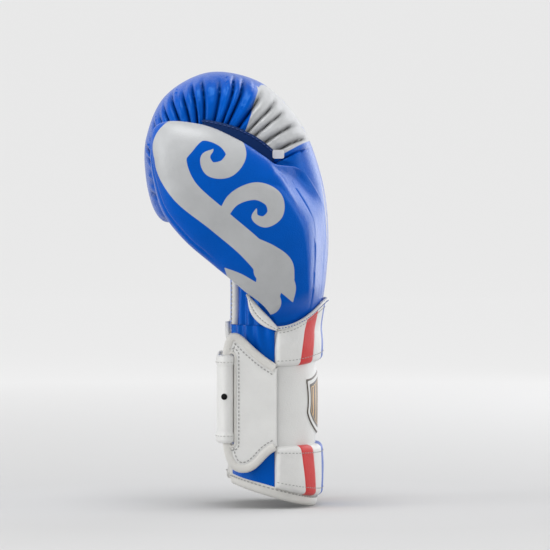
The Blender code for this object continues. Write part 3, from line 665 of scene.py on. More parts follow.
# Brush strokes as (path, half widths). The mitt's are unrolled: along the lobe, then around it.
MITT_STROKES = (
    (((98, -86), (103, -62), (108, -38), (112, -14), (113, 12)), (11.0, 12.5, 11.0, 7.5, 0.2)),
    (((97, -60), (97, -38), (94, -18), (88, 4)), (8.0, 8.0, 5.5, 0.2)),
    (((106, -50), (113, -38), (121, -24)), (8.0, 5.0, 0.2)),
    (((106, -20), (101, -4), (99, 18), (104, 40)), (8.0, 6.0, 4.0, 0.2)),
    (((34, -12), (52, -15), (74, -15)), (0.3, 1.8, 0.3)),
    (((40, -6), (54, -9), (68, -9)), (0.3, 1.0, 0.3)),
)

# The thumb's are in side view: towards the back of the hand, then towards the knuckles.
THUMB_STROKES = (
    (((-60, 247), (-71, 234), (-62, 212), (-38, 191), (-16, 172), (-3, 156), (-5, 138)),
     (8.5, 11.0, 9.6, 8.5, 8.5, 9.5, 9.0)),
    (((-63, 244), (-50, 252), (-34, 248), (-26, 237), (-32, 227), (-43, 226), (-47, 234), (-41, 240)),
     (8.5, 6.5, 7.0, 7.0, 6.5, 5.0, 3.2, 0.3)),
    (((-37, 190), (-28, 205), (-13, 211), (-1, 206), (1, 196), (-6, 190), (-13, 193), (-12, 199)),
     (3.0, 4.6, 6.0, 6.5, 5.5, 4.0, 2.4, 0.3)),
    (((-16, 172), (-3, 166), (7, 160), (14, 150)), (8.0, 8.0, 6.0, 0.2)),
    (((-6, 156), (2, 152), (9, 145), (13, 134)), (8.0, 8.0, 6.0, 0.2)),
    (((-4, 134), (-15, 141), (-25, 149), (-34, 158)), (9.0, 7.5, 5.5, 0.2)),
    (((-73, 230), (-75, 244), (-65, 254), (-46, 257)), (8.5, 8.0, 7.5, 3.0)),
)


def print_distance(plane, strokes):
    """Signed distance, in millimetres, to a union of tapering strokes."""
    return np.min([stroke_distance(plane, path, widths) for path, widths in strokes], axis=0)


FIELD_PITCH = 1.5
FIELD_X = np.arange(-100.0, 48.0, FIELD_PITCH)
FIELD_Z = np.arange(100.0, 300.0, FIELD_PITCH)


def side_height(points):
    """How far a ring grid reaches towards the thumb side, over a grid of x and z."""
    tree = BVHTree.FromPolygons([Vector(p) for p in points.reshape(-1, 3)],
                                grid_faces(points.shape[0], points.shape[1], True))
    height = np.full((len(FIELD_X), len(FIELD_Z)), -20.0)
    for i, x in enumerate(FIELD_X):
        for j, z in enumerate(FIELD_Z):
            hit = tree.ray_cast(Vector((x, -200.0, z)), Vector((0.0, 1.0, 0.0)))
            if hit[0] is not None:
                height[i, j] = max(-hit[0].y, -20.0)
    return height


def rolled_over(height, radius):
    """The height field that a ball rolled over it would leave: hollows filleted, humps kept."""
    reach = int(radius / FIELD_PITCH)
    offsets = [(i, j, math.sqrt(radius ** 2 - (i * i + j * j) * FIELD_PITCH ** 2) - radius)
               for i in range(-reach, reach + 1) for j in range(-reach, reach + 1)
               if (i * i + j * j) * FIELD_PITCH ** 2 <= radius ** 2]
    rows, columns = height.shape

    def sweep_ball(field, sign):
        padded = np.pad(field, reach, mode="edge")
        shifted = [padded[reach + i:reach + i + rows, reach + j:reach + j + columns] + sign * drop
                   for i, j, drop in offsets]
        return np.max(shifted, axis=0) if sign > 0 else np.min(shifted, axis=0)

    return sweep_ball(sweep_ball(height, 1), -1)


def softened(field, rounds):
    """A height field averaged with its neighbours a number of times."""
    for _ in range(rounds):
        padded = np.pad(field, 1, mode="edge")
        field = (padded[:-2, 1:-1] + padded[2:, 1:-1] + padded[1:-1, :-2] + padded[1:-1, 2:]
                 + 2 * field) / 6
    return field


def field_at(field, x, z):
    """A height field read between its grid points."""
    u = np.clip((x - FIELD_X[0]) / FIELD_PITCH, 0, len(FIELD_X) - 1.001)
    v = np.clip((z - FIELD_Z[0]) / FIELD_PITCH, 0, len(FIELD_Z) - 1.001)
    i, j = u.astype(int), v.astype(int)
    f, g = u - i, v - j
    return ((1 - f) * (1 - g) * field[i, j] + f * (1 - g) * field[i + 1, j]
            + (1 - f) * g * field[i, j + 1] + f * g * field[i + 1, j + 1])


def make_thumb(mitt_points):
    """The thumb's cover: a free lobe at its tip that flows into the back of the mitt at its base."""
    along = closing_fractions(170, THUMB_CLOSING, 50)
    around = np.arange(240) * 360.0 / 240
    points = lobe_rings(THUMB_STATIONS, THUMB_CLOSING, THUMB_SQUARENESS, along, around)
    mitt = side_height(mitt_points)
    thumb = side_height(points)
    filled = softened(rolled_over(np.maximum(mitt, thumb), 40.0), 18)
    thumb = softened(thumb, 5)

    s = np.broadcast_to(along[:, None], points.shape[:2])
    side = np.where(around > 180, around - 360, around)[None, :] + 0 * s
    q = (power(np.cos(np.radians(side)), 2 / THUMB_SQUARENESS) + 1) / 2
    row = catmull(THUMB_STATIONS, along)
    chord = unit(row[:, 0:2] - row[:, 2:4])
    joined = 1 - smoothstep(0.40, 0.50, s)
    stretch = np.interp(s, (0.0, 0.14, 0.29, 0.43, 0.5), (1.5, 7.0, 12.5, 10.0, 6.0))
    stretch = stretch * joined * smoothstep(0.5, 1.0, q)
    points[..., 0] += stretch * chord[:, None, 0]
    points[..., 2] += stretch * chord[:, None, 1]
    x, z = points[..., 0], points[..., 2]
    mitt_y = np.minimum(-field_at(mitt, x, z), -12.0)
    landed = smoothstep(0.78, 1.0, q)
    outer_y = (-field_at(filled, x, z) - 0.35) * (1 - landed) + (mitt_y + 0.8) * landed
    outer_y = np.minimum(outer_y, -field_at(thumb, x, z) + 1.8)
    inner_y = np.maximum(points[..., 1], outer_y + 2.6 * (1 - smoothstep(0.9, 1.0, q)))
    is_outer = (side <= 0) | (side == 180)
    weight = joined * np.where(is_outer, smoothstep(0.0, 0.5, q), smoothstep(0.3, 0.6, q))
    points[..., 1] += weight * (np.where(is_outer, outer_y, inner_y) - points[..., 1])
    sunk = 1 - smoothstep(0.0, 0.12, s)
    points[..., 1] += sunk * (mitt_y - np.where(is_outer, 0.3, -1.5) - points[..., 1])

    lift = 0.35 * soft_noise(points, 55.0, 5) * smoothstep(0.1, 0.3, s)
    lift -= 0.9 * bell(side + 156.0, 3.5) * smoothstep(0.2, 0.35, s) * (1 - joined)
    lift += crotch_wrinkles(points) * 0.3
    points = points + grid_normals(points, True) * (lift * (1 - sunk))[..., None]
    item = closed_lobe("thumb_cover", points)
    front = np.where(side > 0, 3.0, 0.0)
    store(item, "silver", lobe_values(print_distance(points[..., [0, 2]], THUMB_STROKES) + front))
    skin(item, 1.4)
    attach(item, "root", "blue_leather", "thumb_outer_panel", "thumb_inner_panel", pad=0.9)


def make_lock_strip():
    """The navy strip that ties the thumb to the mitt and its two stitch rows."""
    line = resample(smooth_line(((-50, -46.0, 254), (-38, -47.5, 252), (-26, -48.5, 248.5),
                                 (-12, -50.0, 241), (-1, -52.0, 231))), 1.2)
    tangent = directions(line)
    side = unit(np.cross(tangent, (0.10, -0.93, 0.36)))
    up = np.cross(side, tangent)
    strip = sweep("lock_strip_cover", line, side, up, 6.5, 1.3, NAVY_LEATHER, sides=20,
                  squareness=4.0)
    attach(strip, "root", "navy_leather", "thumb_lock_strip")
    rows = [(line + side * across + up * 1.35, up, False) for across in (-4.6, 4.6)]
    attach(stitches("lock_strip_stitches", rows, NAVY_THREAD, pitch=3.0, length=2.0, radius=0.35),
           "root", "navy_leather")


def make_crescent():
    """The white wedge that fills the corner under the thumb, with a stitched rolled edge."""
    outer = smooth_line(((-18.6, 139), (-17.5, 128), (-12.5, 120.5), (-5.7, 116.0), (2.0, 113.6)))
    inner = smooth_line(((-18.2, 139.2), (-14, 135.0), (-8.9, 129), (-3, 123), (2.6, 116.5)))
    count = 60
    at = np.linspace(0, 1, count)
    outer, inner = (np.stack([np.interp(at, np.linspace(0, 1, len(line)), line[:, k])
                              for k in range(2)], axis=1) for line in (outer, inner))
    across = np.linspace(0.0, 1.0, 14)[:, None, None]
    flat = outer[None] * (1 - across) + inner[None] * across
    bulge = 1.7 * np.sin(across[..., 0] * math.pi) ** 0.6 - 0.7 * bell(across[..., 0] - 0.38, 0.07)
    y = -50.6 - bulge - 1.4 * smoothstep(-16, -4, flat[..., 0])
    points = np.stack([flat[..., 0], y, flat[..., 1]], axis=2)
    item = mesh_piece("thumb_wedge_cover", points, grid_faces(14, count, False), WHITE_LEATHER)
    skin(item, 1.2)
    attach(item, "root", "white_leather", "thumb_base_wedge")
    row = [(points[5] + (0.0, -0.15, 0.0), (0.0, -1.0, 0.0), False)]
    attach(stitches("thumb_wedge_stitches", row, THREAD_AND_HOLE_SHADE, pitch=2.4, length=1.5, radius=0.26), "root",
           "white_leather")


# ================================================================ cuff
def cuff_xyz(angle, out, z):
    """Points of the wrist's superellipse; the arguments broadcast together."""
    angle, out, z = np.broadcast_arrays(*(np.asarray(x, dtype=float) for x in (angle, out, z)))
    around = np.radians(angle)
    x = CUFF_CENTRE_X + (CUFF_HALF_DEPTH + out) * power(np.cos(around), 2 / CUFF_SQUARENESS)
    y = (CUFF_HALF_WIDTH + out) * power(np.sin(around), 2 / CUFF_SQUARENESS)
    return np.stack([x, y, z], axis=-1)


def mouth_height(angle):
    """Height of the slanting open end of the cuff."""
    return MOUTH_AT_ORIGIN + MOUTH_SLOPE * cuff_xyz(angle, 0.0, 0.0)[..., 0]


def arc_length(angles):
    """Distance round the cuff from its back, for each angle."""
    sample = np.linspace(-180, 180, 721)
    line = cuff_xyz(sample, 0.0, 0.0)
    steps = np.linalg.norm(np.diff(line, axis=0), axis=1)
    total = np.concatenate([[0.0], np.cumsum(steps)])
    total -= np.interp(0.0, sample, total)
    return np.interp(angles, sample, total)


def stripe_distances(angles, z):
    """Signed distances, in millimetres round the cuff, to the red and blue stripes."""
    here = arc_length(angles)
    lean = np.where(z > 60.0, 48.5 - (z - 93.0) * 0.22, 43.0 + (z - 10.0) * 0.22)
    red = np.abs(np.abs(here) - arc_length(lean)) - 6.2
    blue = np.abs(here) - arc_length(16.0)
    return red, blue


def shield_distance(x, z):
    """Signed distance to a plain shield: arched top, slightly waisted sides and a round foot."""
    half, foot = 36.5, 20.0
    waist = half - 1.6 * np.cos((z - 4.0) / 12.0 * math.pi / 2)
    low = np.minimum(z + 2.0, 0.0)
    radius = np.maximum(np.hypot(x / half, low / foot), 1e-6)
    bowl = (radius - 1) * radius / np.hypot(x / half ** 2, low / foot ** 2).clip(1e-6)
    top = z - 20.0 - 2.5 * np.cos(x / half * math.pi)
    return np.maximum(np.maximum(np.abs(x) - waist, bowl), top)


def make_cuff_back():
    """The white panel over the back of the wrist, with the shield raised on it."""
    angles = np.linspace(-87.0, 87.0, 170)
    levels = np.linspace(0.0, 1.0, 120)
    low = mouth_height(angles)[None, :] + 2.0
    a = np.broadcast_to(angles[None, :], (120, 170))
    z = low + (CUFF_TOP - low) * levels[:, None]
    here = np.broadcast_to(arc_length(angles)[None, :], z.shape)
    middle = (PAD_LOW + LOWER_PAD_HIGH) / 2
    shield = shield_distance(here, z - middle - 0.5)
    bulge = 0.7 * (1 - ((z - middle) / 28.0) ** 2).clip(0, 1)
    bulge += 0.9 * smoothstep(0.6, -0.6, shield)
    bulge += 0.25 * soft_noise(cuff_xyz(a, 0.0, z), 40.0, 17)
    bulge -= 0.5 * smoothstep(83.0, 87.0, np.abs(a))
    item = mesh_piece("cuff_back", cuff_xyz(a, bulge, z), grid_faces(120, 170, False),
                      BADGE_LEATHER)
    ring = np.abs(shield + 2.6) - 1.3
    store(item, "gold", shield)
    store(item, "pale", ring)
    store(item, "dark", shield + 4.4)
    bars = np.abs(((here + 3.2) % 6.4) - 3.2) - 1.0
    bars = np.maximum(bars, shield + 7.5)
    frame_line = np.abs(shield + 6.4) - 0.45
    store(item, "mark", np.minimum(bars, frame_line))
    skin(item, 4.0)
    attach(item, "root", "white_leather", "cuff_back_panel", "badge_field", "badge_border", pad=0.6)


def seam_height(angle):
    """Height of the seam between the blue mitt and the white cuff."""
    back = 115.5 + 18.0 * smoothstep(88.0, 10.0, np.abs(angle))
    palm = 10.0 * smoothstep(90.0, 118.0, np.abs(angle))
    return back + palm


def pad_point(angles, out, z):
    """The back of the wrist, flowing from the cuff's own shape into the mitt's above it."""
    share = smoothstep(100.0, 122.0, z)[..., None]
    over_mitt = mitt_surface(angles, z, np.minimum(out, 2.0))
    return cuff_xyz(angles, out, z) * (1 - share) + over_mitt * share


def make_pads():
    """The padded white panels above and below the wrist, with sewn-in stripes and a top welt."""
    threads = []
    for name, low_at, high_at in (
            ("upper", lambda a: PAD_LOW + 2.5 * smoothstep(80, 0, np.abs(a)), seam_height),
            ("lower", lambda a: mouth_height(a) + 5.5, lambda a: LOWER_PAD_HIGH + 0 * a)):
        angles = np.linspace(-86.8, 86.8, 240)
        levels = np.linspace(0.0, 1.0, 60)
        low, high = low_at(angles)[None, :], high_at(angles)[None, :]
        a = np.broadcast_to(angles[None, :], (60, 240))
        z = low + (high - low) * levels[:, None]
        edge_z = z - low if name == "upper" else np.minimum(z - low, high - z)
        edge_a = arc_length(86.8) - np.abs(arc_length(a))
        dome = (1 - (1 - np.clip(edge_z / 4.0, 0, 1)) ** 2.4) ** 0.55
        dome = dome * (1 - (1 - np.clip(edge_a / 3.5, 0, 1)) ** 2.2) ** 0.6
        red, blue = stripe_distances(a, z)
        crease = bell(red, 0.6) + bell(blue, 0.6)
        puckers = soft_noise(cuff_xyz(a, 0.0, z), 11.0, 31) * np.exp(-edge_a / 12.0)
        height = (4.6 + 0.7 * np.sin(levels[:, None] * math.pi) - 0.28 * crease) * dome
        height = height + (0.16 * soft_noise(cuff_xyz(a, 0.0, z), 26.0, 29) + 0.35 * puckers) * dome
        out = 0.4 + height
        top = pad_point(a, out, z)
        bottom = pad_point(a, out * 0 - 0.2, z)
        item = slab_piece(f"{name}_pad", top, bottom, STRIPED_LEATHER)
        store(item, "red", np.concatenate([red.ravel(), red.ravel()]))
        store(item, "blue", np.concatenate([blue.ravel(), blue.ravel()]))
        attach(item, "root", "white_leather", f"{name}_wrist_pad", f"blue_stripe_{name}",
               f"red_stripe_thumb_{name}", f"red_stripe_little_{name}", pad=0.7)
        normals = grid_normals(top, False)
        for level in ((9, 52, 56) if name == "upper" else (9, 50)):
            out = normals[level, 4:-4]
            threads.append((top[level, 4:-4] + out * 0.05, out, False))
        if name == "upper":
            make_welt(top[-1] + normals[-1] * 0.5, normals[-1])
    attach(stitches("pad_stitches", threads, THREAD_AND_HOLE_SHADE, pitch=2.8, length=1.7, radius=0.26), "root",
           "white_leather")


def make_welt(edge, normals):
    """The piping that closes the seam between the white cuff and the blue mitt."""
    side = np.cross(directions(edge), normals)
    attach(sweep("cuff_welt", edge, side, normals, 1.4, 1.1, BINDING_LEATHER), "root",
           "white_leather")
    rows = [(edge + side * 0.2 + normals * 1.12, normals, False)]
    attach(stitches("welt_stitches", rows, BLUE_THREAD, pitch=2.2, length=1.2, radius=0.3), "root",
           "blue_leather")


def mitt_surface(angle, z, out):
    """Points a little off the mitt near the wrist at a height z, by the angle from the back."""
    columns = angle[0]
    rings = lobe_rings(MITT_STATIONS, MITT_CLOSING, MITT_SQUARENESS, np.linspace(0.0, 0.3, 60), columns)
    result = np.empty(angle.shape + (3,))
    for j in range(len(columns)):
        for k in range(3):
            result[:, j, k] = np.interp(z[:, j], rings[:, j, 2], rings[:, j, k])
    result[..., 2] = z
    result[..., 0] += out * np.cos(np.radians(angle))
    result[..., 1] += out * np.sin(np.radians(angle))
    return result


def make_side_panels():
    """The cuff's two sides, from the back panel's edges round to the palm slit."""
    for name, start, end, mat, slot in (
            ("side_panel_thumb", -150.0, -86.9, BLUE_LEATHER, "blue_leather"),
            ("side_panel_little", 86.9, 168.0, WHITE_LEATHER, "white_leather")):
        angles = np.linspace(start, end, 90)
        levels = np.linspace(0.0, 1.0, 110)
        low = mouth_height(angles)[None, :] + 2.0
        a = np.broadcast_to(angles[None, :], (110, 90))
        z = low + (CUFF_TOP + 1.5 - low) * levels[:, None]
        here = arc_length(a)
        folds = 0.8 * np.sin(here * 0.75 + 1.4 * np.sin(z * 0.06)) * smoothstep(85, 116, z)
        lift = folds + 0.3 * soft_noise(cuff_xyz(a, 0.0, z), 34.0, 41)
        lift = lift + 1.3 * smoothstep(98.0, 111.0, z)
        item = mesh_piece(f"{name}_cover", cuff_xyz(a, lift, z), grid_faces(110, 90, False), mat)
        skin(item, 3.8)
        attach(item, "root", slot, name, pad=0.5)


def make_cuff_bindings():
    """Rolled leather over the mouth, both edges of the palm slit and the palm's upper edge."""
    angles = np.linspace(-149.0, 167.0, 220)
    low = mouth_height(angles) + 2.6
    path = cuff_xyz(angles, -1.9, low)
    outward = unit(cuff_xyz(angles, 4.0, low) - path)
    down = np.cross(directions(path), outward)
    item = sweep("mouth_binding_cover", path, down, outward, 4.0, 2.9, BINDING_LEATHER, sides=18)
    attach(item, "root", "white_leather", "mouth_binding")
    threads = [(cuff_xyz(angles, 1.02, low + 2.0), outward, False)]

    for edge, angle in PALM_EDGES.items():
        name = f"palm_binding_{edge}"
        z = np.linspace(float(mouth_height(angle)) + 3.0, 152.0, 90)
        share = smoothstep(100.0, 116.0, z)[:, None]
        sink = 1.8 if angle < 0 else 3.4
        low = cuff_xyz(angle, -sink, z)
        turned = np.full((90, 1), angle - math.copysign(2.0, angle))
        high = mitt_surface(turned, z[:, None], 1.6 - sink)[:, 0]
        line = low * (1 - share) + high * share
        turn = math.radians(angle)
        out = unit(np.array([math.cos(turn), math.sin(turn) * 0.8, 0.0]))
        side = np.cross(out, (0.0, 0.0, 1.0))
        strip = sweep(f"{name}_cover", line, np.tile(side, (90, 1)), np.tile(out, (90, 1)), 3.0, 2.7,
                      BINDING_LEATHER, sides=16)
        attach(strip, "root", "white_leather", name)
        shown = slice(8, -4 if angle < 0 else 60)
        threads.append(((line + out * 2.75 + side * 1.3)[shown], out, False))
    turns = np.linspace(84.0, 166.0, 80)
    line = mitt_surface(turns[None, :], np.full((1, 80), CUFF_TOP + 1.6), 0.5)[0]
    out = np.stack([np.cos(np.radians(turns)), np.sin(np.radians(turns)), 0 * turns], axis=1)
    up = np.tile((0.0, 0.0, 1.0), (80, 1))
    attach(sweep("palm_welt", line, up, out, 1.6, 1.4, BINDING_LEATHER), "root", "white_leather")
    attach(stitches("cuff_binding_stitches", threads, THREAD_AND_HOLE_SHADE), "root", "white_leather")


# ================================================================ buckle flap and strap
def flap_point(along, out, z):
    """World points from the distance from the flap's seam and the height above its face."""
    along, out, z = np.broadcast_arrays(*(np.asarray(x, dtype=float) for x in (along, out, z)))
    x = FLAP_HINGE[0] - along * math.cos(FLAP_TILT) - out * math.sin(FLAP_TILT)
    y = FLAP_HINGE[1] + along * math.sin(FLAP_TILT) - out * math.cos(FLAP_TILT)
    return np.stack([x, y, z], axis=-1)


FLAP_NORMAL = np.array([-math.sin(FLAP_TILT), -math.cos(FLAP_TILT), 0.0])
FLAP_END = 34.4
FLAP_LOW = ((0.0, 34.0), (6.0, 30.5), (13.0, 22.5), (18.0, 18.8), (24.0, 18.0), (29.0, 20.5),
            (32.0, 27.0), (33.8, 36.0), (FLAP_END, 46.0))
FLAP_HIGH = ((0.0, 88.0), (8.0, 93.0), (17.0, 100.5), (24.0, 107.5), (28.0, 110.0), (31.2, 108.0),
             (33.4, 101.0), (FLAP_END, 90.0))
SLOT = (28.4, 31.6, 34.5, 98.0)


def smooth_line(points):
    """A rounded open line through a few points, by repeated corner cutting."""
    line = np.array(points, dtype=float)
    for _ in range(3):
        cut = np.empty((2 * (len(line) - 1), line.shape[1]))
        cut[0::2] = line[:-1] * 0.75 + line[1:] * 0.25
        cut[1::2] = line[:-1] * 0.25 + line[1:] * 0.75
        line = np.vstack([line[:1], cut, line[-1:]])
    return resample(line, 1.0)


def make_flap():
    """The buckle flap: a padded panel with a slot, both bound and stitched all round."""
    low_line = smooth_line(FLAP_LOW)
    high_line = smooth_line(FLAP_HIGH)
    x0, x1, z0, z1 = SLOT
    columns = np.unique(np.concatenate([np.linspace(-1.4, x0, 40), np.linspace(x0, x1, 7),
                                        np.linspace(x1, FLAP_END, 8)]).round(4))
    low = np.interp(columns, low_line[:, 0], low_line[:, 1])
    high = np.interp(columns, high_line[:, 0], high_line[:, 1])
    inner_low = np.maximum(z0, low + 1.0)
    inner_high = np.minimum(z1, high - 1.0)
    below, beside = 12, 60
    rows = [low + (inner_low - low) * f for f in np.linspace(0, 1, below, endpoint=False)]
    rows += [inner_low + (inner_high - inner_low) * f for f in np.linspace(0, 1, beside)]
    rows += [inner_high + (high - inner_high) * f for f in np.linspace(0, 1, 13)[1:]]
    z = np.array(rows)
    a = np.broadcast_to(columns[None, :], z.shape)
    edge = np.minimum(np.minimum(z - low, high - z), FLAP_END - a)
    out = 1.6 + 0.5 * smoothstep(0, 9, edge) + 0.18 * soft_noise(flap_point(a, 0.0, z), 30.0, 51)
    faces = []
    width = len(columns)
    for face in grid_faces(len(rows), width, False, flip=True):
        i, j = divmod(min(face), width)
        in_slot = x0 - 0.01 <= columns[j] < x1 - 0.01 and below <= i < below + beside - 1
        if not in_slot:
            faces.append(face)
    item = mesh_piece("flap_cover", flap_point(a, out, z), faces, WHITE_LEATHER)
    skin(item, 3.0)
    attach(item, "flap", "white_leather", "flap_panel", pad=0.4)

    border = resample(np.vstack([low_line, high_line[::-1]]), 1.2)
    make_flat_binding("flap_binding_cover", border, 3.0, 2.5, "flap_binding", False)
    rim = rounded_slot(x0 - 0.9, x1 + 0.9, z0 - 0.9, z1 + 0.9, 2.4)
    make_flat_binding("slot_rim_cover", rim, 1.3, 2.3, "slot_rim", True)
    around = rounded_slot(x0 - 3.4, x1 + 3.2, z0 - 3.4, z1 + 3.4, 4.0)
    threads = [(flap_point(line[:, 0], 2.15, line[:, 1]), FLAP_NORMAL, closed)
               for line, closed in ((inset_line(border, 4.4), False), (around, True))]
    attach(stitches("flap_stitches", threads, THREAD_AND_HOLE_SHADE, pitch=2.7, length=1.8), "flap", "white_leather")


def inset_line(line, distance):
    """An outline moved inwards, towards the middle of its points."""
    tangent = directions(line)
    normal = np.stack([-tangent[:, 1], tangent[:, 0]], axis=1)
    centre = line.mean(axis=0)
    facing = np.sign(np.sum(normal * (centre - line), axis=1).mean())
    return line + normal * distance * facing


def rounded_slot(x0, x1, z0, z1, radius):
    """A rectangle with round corners."""
    points = []
    for cx, cz, start in ((x1 - radius, z1 - radius, 0), (x0 + radius, z1 - radius, 90),
                          (x0 + radius, z0 + radius, 180), (x1 - radius, z0 + radius, 270)):
        for turn in np.radians(np.linspace(start, start + 90, 7)):
            points.append((cx + radius * math.cos(turn), cz + radius * math.sin(turn)))
    return resample(np.array(points), 1.0, closed=True)


def make_flat_binding(name, line, half_width, half_height, node, closed):
    """A leather strip folded over an edge of the flap: a flattened bar along the outline."""
    path = flap_point(line[:, 0], 0.3, line[:, 1])
    up = np.tile(FLAP_NORMAL, (len(path), 1))
    side = np.cross(directions(path, closed), up)
    item = sweep(name, path, side, up, half_width, half_height, BINDING_LEATHER, closed=closed,
                 sides=18)
    attach(item, "flap", "white_leather", node)


def band(name, path, thickness, *nodes, body=None, bend=None):
    """A leather strap standing on edge along a path seen from above, with hems and stitches.

    It rides on a body; given a bend (first, second, start, end), it is only baked in place and rides on
    no body.
    """
    line = resample(np.array(path), 1.0)
    tangent = directions(line)
    normal = np.stack([tangent[:, 1], -tangent[:, 0]], axis=1)
    levels = np.linspace(0.0, 1.0, 50)
    z = STRAP_LOW + (STRAP_HIGH - STRAP_LOW) * levels
    edge = np.minimum(levels, 1 - levels) * (STRAP_HIGH - STRAP_LOW)
    rise = thickness / 2 * (1 - (1 - np.clip(edge / 1.6, 0, 1)) ** 2.5) ** 0.5
    rise += 0.45 * smoothstep(7.2, 6.4, edge) * smoothstep(0.0, 1.0, edge)
    rise -= 0.25 * bell(edge - 6.9, 0.5)
    outer, inner = (np.empty((len(levels), len(line), 3)) for _ in range(2))
    for grid, sign in ((outer, 1), (inner, -1)):
        grid[..., :2] = line[None] + sign * rise[:, None, None] * normal[None]
        grid[..., 2] = z[:, None]
    item = slab_piece(name, outer, inner, WHITE_LEATHER)
    fix_normals(item)
    out = np.concatenate([normal, np.zeros((len(normal), 1))], axis=1)
    threads = [(outer[int(np.argmin(np.abs(z - height)))], out, False)
               for height in (STRAP_LOW + 5.4, STRAP_HIGH - 5.4)]
    thread = stitches(f"{name}_stitches", threads, PALE_THREAD, pitch=2.7, length=1.8)
    for piece in (item, thread):
        if bend:
            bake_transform(piece)
        else:
            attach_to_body(piece, body)
    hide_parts(*nodes)


def make_strap():
    """The strap from the palm through the slot, back over the fold and round the far side."""
    peel, end = PEEL_HINGE, END_HINGE
    centre_z = (STRAP_LOW + STRAP_HIGH) / 2
    middle = (SLOT[0] + SLOT[1]) / 2
    inside = flap_point(middle, -3.6, 0.0)[:2]
    inner_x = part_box("strap_inner_run")[0].x / MM + 1.1
    inner = [inside, inside + (-1.2, 3.2), (inner_x + 0.8, inside[1] + 8.5),
             (inner_x, inside[1] + 14.0), (inner_x, -10.0)]
    inner += [cuff_xyz(angle, 1.7, 0.0)[:2] for angle in (175.0, 168.0, 160.0, 152.0, 144.0)]
    start = (*(inside * MM), STRAP_HIGH * MM / 2)
    stop = (inner_x * MM, (inside[1] + 22.0) * MM, STRAP_HIGH * MM / 2)
    band("strap_inner_cover", inner[::-1], 2.0, "strap_inner_run", bend=("flap", "root", start, stop))

    reach = FLAP_HINGE[0] - peel[0] - 2.2
    fold = [flap_point(along, out, 0.0)[:2] for along, out in (
        (middle, -3.6), (middle, 1.0), (middle + 0.6, 3.6), (middle + 3.2, 4.9), (reach - 2.0, 4.6),
        (reach + 1.4, 2.4))]
    fold = smooth_line([*fold, (peel[0] - 0.6, peel[1] - 4.0), (peel[0], peel[1] + 1.0)])
    band("strap_fold_cover", fold[::-1], 2.2, "strap_fold", body="flap")

    def across(hinge, before, after):
        """Where a bend starts and ends, along y from its hinge."""
        return [(hinge[0] * MM, (hinge[1] + y) * MM, centre_z * MM) for y in (before, after)]

    tail = [(peel[0], y) for y in np.linspace(peel[1] + 1.0, end[1] - 3.0, 12)]
    band("strap_tail_cover", tail[::-1], 2.2, "strap_tail", "strap_hem_lower", "strap_hem_upper",
         bend=("flap", "strap_tail", *across(peel, -0.5, 9.0)))
    wrap = [(end[0], end[1] - 3.0), (end[0], end[1] + 1.0)]
    wrap += [cuff_xyz(angle, 5.0 - 1.6 * smoothstep(101.0, 93.0, angle), 0.0)[:2]
             for angle in np.linspace(158.0, 93.0, 14)]
    band("strap_end_cover", wrap[::-1], 2.2, "strap_end",
         bend=("strap_tail", "strap_end", *across(end, -2.0, 8.0)))
    make_rivet(flap_point(middle + 4.6, 6.1, centre_z + 1.8))


def make_rivet(at):
    """A small domed rivet with a rim, on the outer face of the fold."""
    profile = ((0.0, 0.9), (0.7, 0.85), (1.2, 0.6), (1.45, 0.25), (1.7, 0.45), (2.05, 0.35),
               (2.2, -0.3))
    up = FLAP_NORMAL
    side = np.cross(up, (0.0, 0.0, 1.0))
    high = np.array((0.0, 0.0, 1.0))
    turns = np.radians(np.arange(32) * 360 / 32)
    rings = [[at + up * h + r * (math.cos(a) * side + math.sin(a) * high) for a in turns]
             for r, h in profile[1:]]
    points = np.vstack([[at + up * profile[0][1]], np.array(rings).reshape(-1, 3)])
    faces = [(0, 1 + j, 1 + (j + 1) % 32) for j in range(32)]
    faces += grid_faces(len(rings), 32, True, 1)
    item = mesh_piece("rivet_cover", points, faces, BLACK_METAL)
    fix_normals(item)
    skin(item, 0.2)
    attach(item, "flap", "black_metal", "strap_rivet")


# ================================================================ kept CAD nodes
def refinish():
    """Pieces that keep their CAD shape get a finished material."""
    finishes = {"hand_liner": LINING, "thumb_liner": LINING, "cuff_liner": LINING,
                "hook_patch": HOOK_TAPE, "loop_patch": LOOP_TAPE, "grip_bar": NAVY_LEATHER,
                "lock_tack": WHITE_LEATHER}
    for name in ("hand_back_foam", "knuckle_foam", "palm_foam", "finger_foam", "fingertip_foam",
                 "thumb_foam"):
        finishes[name] = FOAM
    for name, mat in finishes.items():
        item = frame["nodes"][name]
        for slot in item.material_slots:
            slot.material = mat


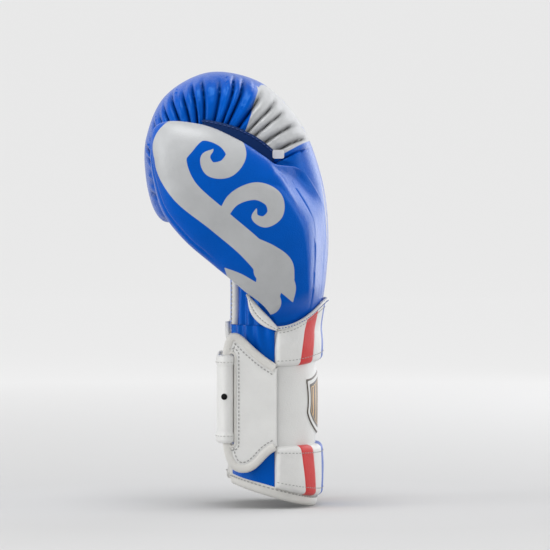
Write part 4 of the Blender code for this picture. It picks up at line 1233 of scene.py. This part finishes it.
# ================================================================ stage, lights and camera
def make_stage():
    """A seamless pale bowl: a floor that curves up into a wall all round.

    Far from the object the paper glows a little by itself, which keeps its tone even.
    """
    floor = CAD_BOX[0].z - 0.0012
    flat, bend, top = 3.6, 1.6, 5.0
    profile = [(0.0, floor), (0.5, floor), (1.5, floor)]
    for turn in np.radians(np.linspace(0, 90, 16)):
        profile.append((flat + bend * math.sin(turn), floor + bend * (1 - math.cos(turn))))
    profile.append((flat + bend, top))
    sides = 96
    points = [(0.0, 0.0, floor)]
    for radius, height in profile[1:]:
        for j in range(sides):
            turn = 2 * math.pi * j / sides
            points.append((radius * math.cos(turn), radius * math.sin(turn), height))
    faces = [(0, 1 + j, 1 + (j + 1) % sides) for j in range(sides)]
    faces += grid_faces(len(profile) - 1, sides, True, 1, flip=True)
    mat, tree, shader, place = new_material("backdrop")
    length = add(tree, "ShaderNodeVectorMath", operation="LENGTH")
    tree.links.new(place, length.inputs[0])
    far = ramp(tree, length.outputs["Value"], 0.25, 1.6, 0.0, 1.0)
    tone = mix_colour(tree, far, (0.52, 0.52, 0.52), (0.24, 0.24, 0.24))
    tree.links.new(tone, shader.inputs["Base Color"])
    shader.inputs["Emission Color"].default_value = (1.0, 1.0, 1.0, 1.0)
    tree.links.new(ramp(tree, far, 0.0, 1.0, 0.05, 0.64), shader.inputs["Emission Strength"])
    shader.inputs["Roughness"].default_value = 0.9
    shader.inputs["Specular IOR Level"].default_value = 0.1
    mesh = bpy.data.meshes.new("backdrop")
    mesh.from_pydata(points, [], faces)
    mesh.shade_smooth()
    mesh.materials.append(mat)
    item = bpy.data.objects.new("backdrop", mesh)
    bpy.context.scene.collection.objects.link(item)


GLOVE_MIDDLE = Vector((0.0, 0.0, 0.16))


def area_light(name, at, size, power_watts, colour=(1.0, 1.0, 1.0)):
    """A soft box, turned towards the glove's middle."""
    data = bpy.data.lights.new(name, "AREA")
    data.shape = "RECTANGLE"
    data.size, data.size_y = size
    data.energy = power_watts
    data.color = colour
    item = bpy.data.objects.new(name, data)
    item.location = at
    item.rotation_euler = (GLOVE_MIDDLE - Vector(at)).to_track_quat("-Z", "Y").to_euler()
    item.visible_camera = False
    bpy.context.scene.collection.objects.link(item)


def make_lights():
    """Plain studio light: soft boxes above and at the sides, and an even pale surround."""
    world = bpy.data.worlds.new("studio")
    bpy.context.scene.world = world
    world.use_nodes = True
    world.node_tree.nodes["Background"].inputs["Color"].default_value = (1.0, 1.0, 1.0, 1.0)
    world.node_tree.nodes["Background"].inputs["Strength"].default_value = 0.42
    area_light("top_softbox", (-0.1, -0.30, 1.8), (0.9, 0.9), 16.5)
    area_light("rim_softbox", (0.85, 1.25, 0.6), (0.9, 1.5), 8.5, (0.95, 0.96, 1.0))
    area_light("right_softbox", (1.5, 0.1, 0.5), (0.5, 1.2), 4.0)
    area_light("left_softbox", (-1.4, -0.5, 0.35), (0.5, 1.2), 9.0)


def make_camera():
    """A long lens level with the glove, on its thumb side."""
    data = bpy.data.cameras.new("camera")
    data.lens = 374.0
    data.sensor_width = 36.0
    data.clip_end = 20.0
    camera = bpy.data.objects.new("camera", data)
    bpy.context.scene.collection.objects.link(camera)
    aim = Vector((0.0007, 0.0, 0.1507))
    elevation = math.radians(2.0)
    back = Vector((0.0, -math.cos(elevation), math.sin(elevation)))
    camera.location = aim + back * 4.0
    camera.rotation_euler = (-back).to_track_quat("-Z", "Y").to_euler()
    bpy.context.scene.camera = camera
    bpy.context.scene.view_settings.view_transform = "Standard"


make_camera()
make_stage()
make_lights()
make_thumb(make_mitt())
make_lock_strip()
make_crescent()
make_cuff_back()
make_pads()
make_side_panels()
make_cuff_bindings()
make_flap()
make_strap()
refinish()
